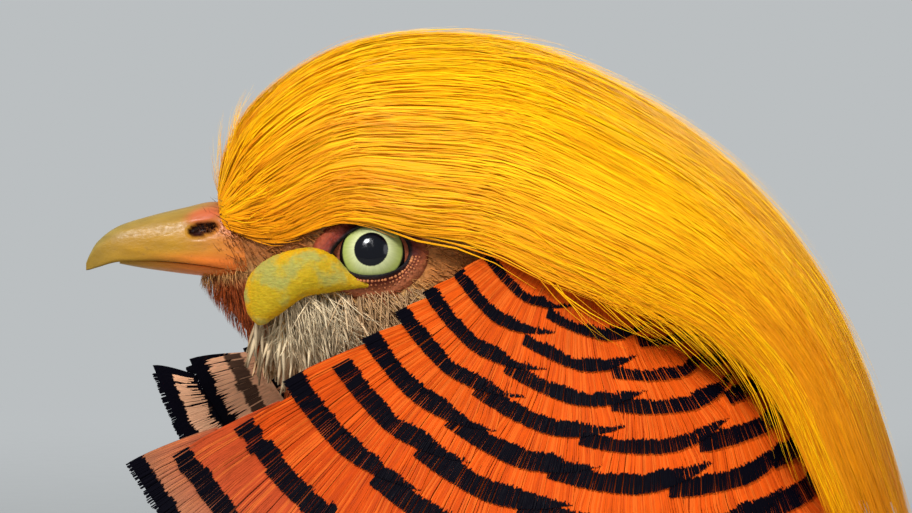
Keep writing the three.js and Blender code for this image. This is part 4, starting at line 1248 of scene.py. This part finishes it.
def papillae():
    """Rows of beads along the lower lid."""
    parts = []
    for off, count, size, rise in BEAD_ROWS:
        phi = np.radians(np.linspace(196, 350, count)) + draw.normal(0, 0.012, count)
        tint = varied(BEAD, count, 0.1)
        parts.append(beads(eye_point(*lid_place(phi, off, rise)), size * draw.uniform(0.8, 1.2, count), tint))
    return joined(parts)


# The wattle's middle line: a place from the eye and its distance out from the midline, then half its height
# and depth
wattle_rows = track([
    [-19.0, -7.0, 9.4, 0.4, 0.4],
    [-18.3, -7.0, 9.7, 2.9, 1.3],
    [-16.2, -6.7, 10.4, 4.9, 2.1],
    [-13.4, -5.3, 11.2, 4.8, 2.5],
    [-9.5, -3.6, 12.5, 3.8, 2.3],
    [-6.2, -3.8, 13.0, 2.9, 1.8],
    [-3.4, -4.8, 13.3, 1.4, 1.1],
    [-0.3, -5.4, 13.6, 0.4, 0.5],
])
WATTLE, WATTLE_RIM = rgb(176, 146, 22), rgb(196, 146, 10)
WATTLE_HIND, WATTLE_FRONT = rgb(186, 146, 20), rgb(200, 142, 4)


def wattle():
    """The left side's lobe of bare skin, which hangs from the lore and leans back as it narrows under the
    eye."""
    t, angle = grid(np.linspace(0, 1, 64), turns(48))
    x, z, out, tall, deep = columns(wattle_rows(t))
    grain = 0.05 * np.sin(x * 5.1 + z * 3) * np.sin(z * 6.3 + angle * 2) + 0.04 * np.sin(x * 9 + angle * 7)
    place = stacked(x + 0.25 * t * tall * np.cos(angle), -out - (deep + grain) * np.sin(angle),
                    z + (tall + grain) * np.cos(angle))[None]
    rim = fade(np.abs(np.cos(angle)), 0.55, 0.95)
    tint = painted(
        WATTLE,
        (WATTLE_RIM, rim),
        (WATTLE_HIND, fade(t, 0.55, 0.85)),
        (WATTLE_FRONT, fade(t, 0.25, 0.05)),
    )
    return tubes(place + EYE, tint[None], place, sheet_bake(*t.shape))


def eye_pieces():
    skin = skin_look()
    pair("eyeball", eyeball(), eye_look(), "eye", "eye")
    pair("eyelids", lid_ring(), skin, "face")
    pair("papillae", papillae(), skin, "face")
    pair("wattle_skin", wattle(), wattle_look(), "wattle", "wattle")


# The face's coat
TUFT_CREAM, TUFT_SHADE, BRISTLE = mix(CREAM, rgb(226, 208, 176), 0.7), rgb(176, 126, 76), rgb(104, 58, 34)
# The cheek's tufts: where they grow on the head and round it, how many on a side, how long and thick and
# high they are, and how much of their length runs backwards.
CHEEK_TUFTS = [
    ((0.22, 0.38), (124, 142), 56, (6.0, 9.5), (0.3, 0.5), (1.5, 4.6), 0.1),
    ((0.28, 0.66), (98, 146), 1780, (4.0, 8.0), (0.06, 0.12), (0.6, 3.0), 0.35),
    ((0.3, 0.62), (104, 150), 130, (3.5, 7.0), (0.14, 0.3), (1.2, 3.2), 0.25),
]


def scattered(count, low_t, high_t, low_degrees, high_degrees, side=1):
    """Random places on a surface: the share along it and the angle round it."""
    t = draw.uniform(low_t, high_t, count)
    return t, side * np.radians(draw.uniform(low_degrees, high_degrees, count))


def face_strands(side, t, angle, tip, lift, half, tint, **form):
    """Strands on one side of the head, whose own half of the baked picture they take."""
    root_uv = stacked(side * angle / 3.2 * 0.48 + (0.5 if side > 0 else 0), t * 0.98)
    return lay(head, stacked(t, angle), tip, lift, half, tint, root_uv=root_uv, **form)


def face_coat(side):
    """Short hair-like feathers over the face, longer on the cheek."""
    t, angle = scattered(3900, 0.0, 0.95, 38, 178, side)
    roots = head(t, angle)
    x, _, z = columns(roots - EYE)
    clear = (np.hypot(x / 1.15, z) > 6.4) & (z < 9)
    t, angle, roots, x, z = (values[clear] for values in (t, angle, roots, x, z))
    n = len(t)
    cheek = fade(z, -6, -12) * fade(x, -19, -15)
    near_eye = fade(np.hypot(x, z), 11, 7)
    length = mix(2.4, 5.5, cheek) * (1 - 0.5 * near_eye) * draw.uniform(0.7, 1.25, n)
    length = np.where(x < -16, length * 0.7, length)
    down = side * (0.35 + 0.9 * cheek + draw.normal(0, 0.3, n)) * length / HEAD_ROUND
    tip_t = np.minimum(t + length * (0.9 - 0.5 * cheek + draw.normal(0, 0.12, n)) / HEAD_LENGTH, 1.0)
    lift = stacked(-0.5, 0.25 + 0.5 * cheek, 0.35 + 0.9 * cheek + draw.uniform(0, 0.6, n))
    tint = face_tint(roots) * draw.uniform(0.75, 1.25, (n, 1))
    half = mix(0.09, 0.14, cheek) * draw.uniform(0.8, 1.25, n)
    return face_strands(side, t, angle, stacked(tip_t, angle + down), lift, half, tint, steps=3, wave=0.03)


def cheek_tufts(side, on_head, round_it, n, lengths, halves, heights, backwards):
    """Pale tufts that hang from the cheek below the wattle."""
    t, angle = scattered(n, *on_head, *round_it, side)
    length = draw.uniform(*lengths, n)
    high = draw.uniform(*heights, n)
    low = fade(np.degrees(np.abs(angle)), 122, 142)
    behind = fade(head(t, angle)[:, 0] - EYE[0], -7, -1)
    tint = painted(TUFT_CREAM, (TUFT_SHADE, np.maximum(0.7 * low, 0.75 * behind)))
    clump = np.sin(t * 52 + 2.5 * np.sin(angle * 8)) * np.sin(angle * 17 + t * 20)
    tint = tint * (0.94 + 0.16 * clump[:, None] + draw.normal(0, 0.14, (n, 1)))
    lean = draw.normal(backwards, backwards, n)
    down = side * length * (1 - 0.4 * np.abs(lean)) / CHEEK_ROUND
    return face_strands(side, t, angle, stacked(t + lean * length / HEAD_LENGTH, angle + down),
                        stacked(-0.4, 0.4 + 0.5 * high, high), draw.uniform(*halves, n), tint,
                        steps=4, wave=0.05, point=0.3)


def bristles(side):
    """Dark hairs about the bill's base."""
    n = 26
    t, angle = scattered(n, 0.02, 0.16, 40, 95, side)
    high = draw.uniform(0.6, 2.0, n)
    tip = stacked(np.maximum(t - draw.uniform(-0.02, 0.07, n), 0), angle - side * draw.uniform(0.05, 0.35, n))
    tint = varied(BRISTLE, n, 0.3)
    lift = stacked(-0.3, high * 0.6, high)
    return face_strands(side, t, angle, tip, lift, np.full(n, 0.055), tint, steps=3)


def throat_coat():
    n = 3200
    s, angle = scattered(n, 0.03, 0.34, 88, 272)
    length = draw.uniform(5, 9, n)
    lift = stacked(-0.9, 0.3, 0.5 + draw.uniform(0, 1.0, n))
    tint = body_tint(s, angle) * draw.uniform(0.6, 1.3, (n, 1))
    tip = stacked(s + length / TRUNK_LENGTH, angle + draw.normal(0, 0.06, n))
    return lay(trunk, stacked(s, angle), tip, lift, draw.uniform(0.16, 0.26, n), tint, steps=3, wave=0.03,
               root_uv=stacked(angle / 6.3 * 0.98, s))


def face_pieces():
    look = Plumes("short_feathers", depth=0.25, rough=(0.6, 0.8)).done()
    tufts = lambda side: joined([cheek_tufts(side, *row) for row in CHEEK_TUFTS])
    piece("face_coat", both_sides(face_coat), look)
    piece("cheek_tufts", both_sides(tufts), look)
    piece("bristles", both_sides(bristles), look)
    piece("throat_coat", throat_coat(), look)


# The body's feathers
ROW_STEP, FEATHER_STEP = 0.021, 7.4  # along the trunk as a share of it, and round it in millimetres
SHORT_VANE, THIGH_VANE = [0.75, 1, 1.0, 0.8, 0.3], [0.7, 1, 1.0, 0.8, 0.25]
THIGH_BROWN, THIGH_BUFF, GLOSS_EDGE = rgb(150, 84, 40), rgb(168, 116, 62), rgb(8, 14, 12)


def body_look():
    return Plumes("body_feathers", streak=2.4, depth=0.3, rough=(0.5, 0.75), Specular_IOR_Level=0.25).done()


def metallic_look(name, metal):
    """Glossy feathers with dark edges at their tips."""
    look = Plumes(name, streak=2.4, depth=0.3, rough=(0.28, 0.5), Metallic=metal)
    from_tip = look.split(look.place)[1]
    return look.done(look.blend(look.ramp(from_tip, 0.6, 1.4, 1, 0), look.colour, GLOSS_EDGE))


def short_vanes(onto, root, tip, half, lift, tint, outline=SHORT_VANE, rise=1.5, ridge=0.25, fray=0.06):
    return vanes(onto, root, tip, half, outline, lift, tint,
                 rise=rise, ridge=ridge, fray=fray, rows=5, thick=0.2)


def staggered(along, around, wander):
    """Places in rows round a surface, each row set between the places of the last, and each a little off
    its own."""
    t, angle = grid(along, turns(around))
    angle = angle + (np.arange(len(along)) % 2)[:, None] * math.pi / around
    return stacked(t.ravel(), angle.ravel()) + draw.normal(0, 1, (t.size, 2)) * wander


def body_rows():
    """Places of the body's feathers, row by row, with as many in each as its girth has room for."""
    places = []
    for k, s in enumerate(np.arange(0.28, 0.965, ROW_STEP)):
        depth, width = trunk_rows(s)[2:]
        count = max(int(math.pi * (depth + width) / FEATHER_STEP), 8)
        places.append(stacked(s, (np.arange(count) + 0.5 * (k % 2)) * 2 * math.pi / count))
    places = np.concatenate(places)
    return places + draw.normal(0, 1, places.shape) * [0.0025, 0.015]


def thigh_feathers():
    root = staggered(np.linspace(0.05, 0.93, 15), 13, [0.006, 0.05])
    tip = np.minimum(root + [0.13, 0], [1.0, np.inf])
    tint = varied(mix(FLANK, THIGH_BROWN, 0.5), len(root), 0.15)
    tint = painted(tint, (THIGH_BUFF, fade(root[:, 0], 0.6, 0.9)))
    return short_vanes(thigh, root, tip, mix(5.0, 2.6, root[:, 0]), -0.8, tint, THIGH_VANE, 1.2, 0.2, 0.08)


def body_pieces():
    places = body_rows()
    s, turn = places[:, 0], from_back(places[:, 1])
    hidden = (s > 0.5) & (s < 0.84) & (turn > 46) & (turn < 88)  # under the wings
    green = (s > 0.3) & (s < 0.475) & (turn < 66)
    for name, chosen, look in (
        ("body_feathers", ~hidden & ~green, body_look()),
        ("mantle_feathers", ~hidden & green, metallic_look("green_gloss", 0.35)),
    ):
        root = places[chosen]
        s, angle = root.T
        tip = stacked(np.minimum(s + mix(0.058, 0.075, fade(s, 0.5, 0.8)), 1.0), angle)
        tint = body_tint(s + 0.01, angle) * draw.uniform(0.72, 1.2, (len(root), 1))
        shape = short_vanes(trunk, root, tip, mix(6.4, 4.6, fade(s, 0.78, 0.98)), -0.9, tint)
        piece(name, shape, look)
    left_thigh, right_thigh = thigh_feathers(), mirrored(thigh_feathers())
    piece("thigh_feathers", joined([left_thigh, right_thigh]), body_look())


# The wing's tiers: roots and tips from the lowest feather to the uppermost, along the trunk and in degrees
# round it from the back; how many feathers, half a feather's width, height, step in height, colour, pattern
# and outline.
VANE = [0.3, 0.72, 0.96, 1.0, 0.97, 0.86, 0.3]
ROUND = [0.4, 0.8, 1, 1.0, 0.85, 0.35]
DARK_BROWN, CHESTNUT, CRIMSON, MAROON = rgb(46, 28, 20), rgb(124, 52, 22), rgb(142, 22, 16), rgb(92, 26, 16)
WING_TIERS = [
    (((0.63, 97), (0.6, 84)), ((0.955, 76), (0.9, 60)), 7, 5.5, 1.2, 0.36, DARK_BROWN, 2, VANE),
    (((0.585, 99), (0.56, 46)), ((0.865, 86), (0.79, 36)), 10, 7.4, 5.0, 0.0, DARK_BROWN, 1, VANE),
    (((0.51, 54), (0.49, 34)), ((0.81, 46), (0.76, 26)), 4, 8.0, 7.6, 0.0, BLUE, 0, VANE),
    (((0.53, 105), (0.52, 60)), ((0.685, 100), (0.665, 60)), 8, 6.0, 8.3, 0.0, CHESTNUT, 3, VANE),
    (((0.485, 104), (0.48, 56)), ((0.6, 103), (0.585, 54)), 8, 6.0, 9.4, 0.0, MAROON, 0, ROUND),
    (((0.455, 103), (0.45, 52)), ((0.545, 103), (0.53, 52)), 9, 5.6, 9.6, 0.0, MAROON, 0, ROUND),
    (((0.44, 60), (0.42, 36)), ((0.56, 52), (0.54, 30)), 5, 7.0, 8.6, 0.0, CRIMSON, 0, ROUND),
]
WING_ROUNDED = 0.5  # the tiers whose roots lie ahead of this share follow the wing's round lower front corner
CORE_S, CORE_DEGREES, CORE_HEIGHT = (0.44, 0.62), (36, 108), 6.2  # the wing's core under its feathers


def wing_look():
    """Brown vanes with buff bars; Place's third number chooses how strong the bars are."""
    look = Plumes("wing_feathers", streak=2.6, depth=0.28, Specular_IOR_Level=0.3)
    across, from_tip, pattern = look.split(look.place)
    wander = look.noise(look.place, 0.35, (1, 1, 0), 3.0)
    wave = look.add(look.times(from_tip, 0.95), look.times(wander, 7.0))
    wave = look.add(wave, look.times(look.calc("ABSOLUTE", across), 0.35))
    bars = look.ramp(look.calc("SINE", wave), 0.1, 0.55)
    bars = look.times(bars, look.ramp(pattern, 0.0, 2.0, 0.0, 0.9, "LINEAR"))
    return look.done(look.blend(bars, look.colour, rgb(170, 118, 70)))


def wing_at(s, degrees, lift=0.0):
    """The left side of the trunk, by the share along it and the degrees from the back."""
    return trunk(s, -np.radians(degrees), lift)


def wing_tier(roots, tips, count, half, lift, step, colour, pattern, outline):
    f = np.linspace(0, 1, count)[:, None]
    root = mix(*np.array(roots), f) + draw.normal(0, 1, (count, 2)) * [0.002, 0.3]
    tip = mix(*np.array(tips), f) + draw.normal(0, 1, (count, 2)) * [0.004, 0.3]
    if roots[0][0] < WING_ROUNDED:
        root[:, 0] += 0.04 * fade(root[:, 1], 86, 104)
    level = (lift + step * np.arange(count))[:, None, None]
    rising = lambda s, degrees: mix(-1, level, fade(s, 0.43, 0.5) * fade(degrees, 112, 98))
    shape = vanes(wing_at, root, tip, half, outline, rising, varied(colour, count, 0.12), rise=-0.3,
                  tilt=0.1 if step else 0.9, ridge=0.35, rows=14, across=9, fray=0.012)
    shape.place = shape.place * [1, 1, 0] + [0, 0, pattern]
    return shape


def wing_core():
    s, degrees = (values[None] for values in grid(np.linspace(*CORE_S, 16), np.linspace(*CORE_DEGREES, 20)))
    round_off = np.sqrt(np.clip(1 - ((degrees - 72) / 38) ** 4, 0, 1)) * np.sin((s - 0.42) / 0.24 * math.pi)
    bake = stacked((degrees - CORE_DEGREES[0]) / 72 * 0.9, (s - CORE_S[0]) * 5)
    top = wing_at(s, degrees, 0.5 + CORE_HEIGHT * round_off)
    # Painted shade: the core under the wing's feathers is a darkened maroon.
    return slabs(top, wing_at(s, degrees, -2.5), MAROON * 0.8, 0, bake)


def wing_pieces():
    plain, blue = [], []
    for row in WING_TIERS:
        (blue if row[6] is BLUE else plain).append(wing_tier(*row))
    pair("wing_feathers", joined(plain + [wing_core()]), wing_look(), "brown_feathers", "wing")
    pair("blue_tertials", joined(blue), metallic_look("blue_gloss", 0.3), "brown_feathers")


# The tail: each pair of vanes is a share of the whole length, shorter from the middle out.
TAIL_SHARES = [1, 0.8, 0.64, 0.51, 0.4, 0.32, 0.26, 0.21, 0.18]
CENTRE_OUTLINE = [0.5, 0.86, 1, 1, 0.92, 0.8, 0.64, 0.45, 0.14]
SIDE_OUTLINE = [0.5, 0.9, 1, 1, 0.9, 0.7, 0.2]
COVERT_OUTLINE = [0.8, 1, 1, 0.85, 0.6, 0.12]
CINNAMON, TAIL_BROWN, TAIL_BLACK = rgb(176, 112, 58), rgb(150, 84, 36), rgb(24, 17, 13)
# The coverts' distance from the tail's middle line at the root and at the tip, and their length
COVERTS = [(2.9, 5, 185), (8.7, 12.5, 160), (14.2, 20, 130), (19, 27, 105), (6, 9, 150), (12, 17, 118)]


def tail_look():
    """Black with round cinnamon spots on the middle pair (pattern 0), and slanting cinnamon bars on the
    rest (1)."""
    look = Plumes("tail_feathers", streak=2.2, depth=0.3)
    across, from_tip, pattern = look.split(look.place)
    flat = look.node("CombineXYZ", {0: across, 1: from_tip, 2: 0.0}).outputs[0]
    cells = look.node("TexVoronoi", {"Vector": flat, "Scale": 0.24, "Randomness": 0.85}).outputs["Distance"]
    ragged = look.noise(flat, 0.9, detail=3.0)
    spots = look.ramp(look.add(cells, look.times(ragged, 0.35)), 0.52, 0.66, 1, 0)
    slant = look.add(from_tip, look.times(look.calc("ABSOLUTE", across), 0.8))
    wander = look.noise(flat, 0.16, detail=2.0)
    wave = look.calc("SINE", look.add(look.times(slant, 0.62), look.times(wander, 9.0)))
    light = look.blend(pattern, look.grey(spots), look.grey(look.ramp(wave, -0.1, 0.35)))
    light = look.node("SeparateColor", {0: light}).outputs[0]
    light = look.calc("MAXIMUM", light, look.ramp(from_tip, 8.0, 30.0, 1, 0))
    return look.done(look.blend(light, TAIL_BLACK, look.colour))


def tail_pair(k):
    """The left and right vane of one length; the middle pair lies one over the other."""
    share, sides = TAIL_SHARES[k], np.array([-1.0, 1.0])
    half = 12 - 0.4 * k if k else 14
    inner = half * 0.98 + 0.4 if k else 0.4
    outer = inner + 1.3 * (k - 1) if k else inner
    lift = -1.4 - 0.95 * k if k else np.array([-0.4, -1.2])
    tint = varied(mix(CINNAMON, TAIL_BROWN, min(k / 4, 1)), 2, 0.05)
    shape = vanes(tail, stacked(18.0, inner * sides), stacked(TAIL_LENGTH * share, outer * sides), half,
                  SIDE_OUTLINE if k else CENTRE_OUTLINE, lift, tint, ridge=0.45,
                  rows=int(24 + 60 * share), across=9, of=2 * len(TAIL_SHARES), first=2 * k)
    shape.place = shape.place * [1, 1, 0] + [0, 0, min(k, 1)]
    return shape


def tail_pieces():
    # Painted shade: the fleshy root under the tail's feathers is a darkened vent brown.
    root = tubes(full_ring(tail_root, np.linspace(0.5, 118, 24), 40, -0.8), VENT * 0.7, 0, sheet_bake(24, 40))
    vanes_and_root = joined([tail_pair(k) for k in range(len(TAIL_SHARES))] + [root])
    piece("tail_vanes", vanes_and_root, tail_look(), ["tail"])
    red = []
    for near, far, long in COVERTS:
        for side in (-1, 1):
            root = stacked(4.0, [side * near]) + draw.normal(0, 0.5, (1, 2))
            tip = stacked(long + draw.normal(0, 6), [side * far])
            red.append(vanes(tail, root, tip, 3.0, COVERT_OUTLINE, over_root, varied(SCARLET, 1, 0.1),
                             ridge=0.5, rows=20, of=2 * len(COVERTS), first=len(red)))
    look = body_look()
    piece("tail_coverts", joined(red), look)
    piece("rump_feathers", rump_feathers(), look)


def rump_feathers():
    """Short feathers over the joint of rump and tail: golden, then scarlet above, and brown below."""
    root = staggered(np.arange(-8.0, 106.0, 6.0), 16, [1.0, 0.04])
    turn = from_back(root[:, 1])
    golden = fade(root[:, 0], 26, 4) * fade(turn, 80, 66)
    tint = painted(SCARLET, (GOLD, golden), (VENT, fade(turn, 112, 132)))
    tint = tint * draw.uniform(0.75, 1.2, (len(root), 1))
    return short_vanes(tail_root, root, root + [24.0, 0.0], 5.0, -0.6, tint)


# The legs
SCUTES, SPUR_HEIGHT = 17, 27
SHANK_LIGHT, SHANK_DARK, SHANK_SEAM = rgb(196, 158, 92), rgb(164, 126, 74), rgb(112, 82, 46)
TOE_TOP, TOE_SOLE, TOE_SEAM, PAD = rgb(200, 166, 104), rgb(172, 134, 82), rgb(120, 88, 52), rgb(190, 154, 94)
SPUR, CLAW_ROOT, CLAW_TIP = rgb(150, 118, 74), rgb(122, 98, 68), rgb(58, 44, 34)
# Each toe's length and its turn from straight ahead, in degrees
TOES = {"inner": (31, 33), "middle": (43, 2), "outer": (34, -32), "hind": (13, 172)}
CLAW_LENGTH, CLAW_GAP = 8.5, 0.09
PAD_RADIUS, PAD_DEPTH, PAD_MIDDLE = 6.2, 5, 4.6
ON_GROUND = 0.02  # the lowest that a foot's skin goes


def leg_look():
    look = Look("scaled_leg", Specular_IOR_Level=0.45)
    place = look.read("Place")
    fine = look.noise(place, 3.0, detail=3.0)
    seams = look.ramp(look.cells(place, 0.9, feature="DISTANCE_TO_EDGE"), 0.02, 0.14)
    colour = look.shade(look.read("Tint", "Color"), look.spread(fine, 0.85, 1.12))
    look.bump(look.add(seams, look.times(fine, 0.3)), 0.0003, 0.7)
    return look.finish(look.blend(seams, rgb(120, 88, 48), colour), look.spread(fine, 0.4, 0.62))


def shank():
    """The left shank with a row of scutes down its front, and its spur."""
    t, angle = grid(np.linspace(0, 1, 150), turns(32))
    front = np.maximum(-np.cos(angle), 0) ** 0.7
    share = (t * SCUTES + 0.12 * np.cos(angle * 2)) % 1
    proud = 0.42 * front * share ** 0.7 * (1 - fade(share, 0.88, 1))
    seam = fade(share, 0.86, 0.96) * front
    tint = painted(SHANK_LIGHT, (SHANK_DARK, fade(t, 0.1, 0.6) * 0.4), (SHANK_SEAM, seam * 0.7))
    shape = tubes(limb(shank_rows, t, angle, proud - 0.15)[None], tint[None],
                  stacked(angle * 3.4, t * 82, 0)[None], sheet_bake(*t.shape, room=0.7))
    f, turn = grid(np.linspace(0, 1, 10), turns(14))
    size = 2.2 * (1 - f) ** 0.8 + 0.15
    spur = stacked(FOOT_X + 8 + 8.4 * f, -FOOT_Y + 2.0 + size * np.cos(turn),
                   SPUR_HEIGHT + 2.6 * f ** 1.5 + size * np.sin(turn))[None]
    return joined([shape, tubes(spur, SPUR, spur, sheet_bake(*f.shape, (0.8, 0.02), 0.15))])


def toe_line(name, f):
    """The middle points and radii along a toe, and the ways ahead and across."""
    length, turn = TOES[name]
    hind = name == "hind"
    radius = mix(3.0 if hind else 3.5, 1.9 if hind else 2.1, f)
    height = mix(9, radius * 0.86, f) if hind else radius * 0.86 + 1.6 * (1 - f) ** 2
    a = math.radians(turn)
    ahead, across = np.array([-math.cos(a), math.sin(a), 0.0]), np.array([math.sin(a), math.cos(a), 0.0])
    middle = np.array([FOOT_X, -FOOT_Y, 0.0]) + mix(2, length, f)[:, None] * ahead
    middle[:, 2] = height
    return middle, radius, ahead, across


def round_rings(middle, radius, across, turn):
    rings = middle[:, None] + (radius * np.sin(turn))[..., None] * across
    rings[..., 2] = np.maximum(rings[..., 2] + radius * np.cos(turn), ON_GROUND)
    return rings[None]


def toe(name, corner):
    knuckles, scutes = (1, 5) if name == "hind" else (3, int(TOES[name][0] / 2.3))
    f = np.linspace(0, 1, scutes * 7 + 1)
    turn = turns(24)[None]
    middle, radius, _, across = toe_line(name, f)
    share = (f * scutes)[:, None] % 1
    upper, lower = np.clip(np.cos(turn), 0, 1) ** 0.6, np.clip(-np.cos(turn), 0, 1)
    size = radius[:, None] * (1 + 0.06 * np.cos(f * knuckles * 2 * math.pi)[:, None] * (1 + lower))
    size = size + 0.3 * upper * share ** 0.7 * (1 - fade(share, 0.86, 1))
    tint = painted(TOE_TOP, (TOE_SOLE, lower * 0.6), (TOE_SEAM, fade(share, 0.84, 0.94) * upper * 0.7))
    rings = round_rings(middle, size, across, turn)
    return tubes(rings, tint[None], rings, sheet_bake(len(f), 24, corner, 0.26))


def claw(name, corner):
    f = np.linspace(0, 1, 24)
    middle, radius, ahead, across = toe_line(name, np.array([1.0]))
    long = CLAW_LENGTH * (0.75 if name == "hind" else 1)
    size = mix(radius * 0.8, 0.22, f ** 1.2)
    line = middle + (f * long + CLAW_GAP)[:, None] * ahead
    height = mix(middle[0, 2] + 0.15, 0.45, f ** 1.6) + 0.5 * np.sin(f * math.pi)
    line[:, 2] = np.maximum(height, size + 0.05)
    rings = round_rings(line, size[:, None], across, turns(16)[None])
    tint = painted(CLAW_ROOT, (CLAW_TIP, smooth(f * 1.4)[:, None]))
    return tubes(rings, tint[None], rings, sheet_bake(24, 16, corner, 0.2))


def foot():
    pad = ball(24, 36, 0.1)[0] * [PAD_RADIUS, PAD_RADIUS, PAD_DEPTH] + [FOOT_X, -FOOT_Y, PAD_MIDDLE]
    pad = np.maximum(pad, [-np.inf, -np.inf, ON_GROUND])[None]
    corners = [(0.02, 0.02), (0.32, 0.02), (0.62, 0.02), (0.02, 0.32)]
    toes = [toe(name, corner) for name, corner in zip(TOES, corners)]
    return joined([tubes(pad, PAD, pad, sheet_bake(24, 36, (0.02, 0.62), 0.3))] + toes)


def leg_pieces():
    look = leg_look()
    horn = Plumes("claw_horn", streak=1.2, depth=0.25, rough=(0.3, 0.5)).done()
    claws = joined([claw(name, (0.25 * k, 0)) for k, name in enumerate(TOES)])
    pair("foot_skin", foot(), look, "leg", "foot")
    pair("claws", claws, horn, "claw", *["claw_" + name for name in TOES])
    pair("shank_skin", shank(), look, "leg", "shank")


camera()
studio()
skin_piece()
bill_pieces()
eye_pieces()
face_pieces()
crest_pieces()
cape_pieces()
body_pieces()
wing_pieces()
tail_pieces()
leg_pieces()
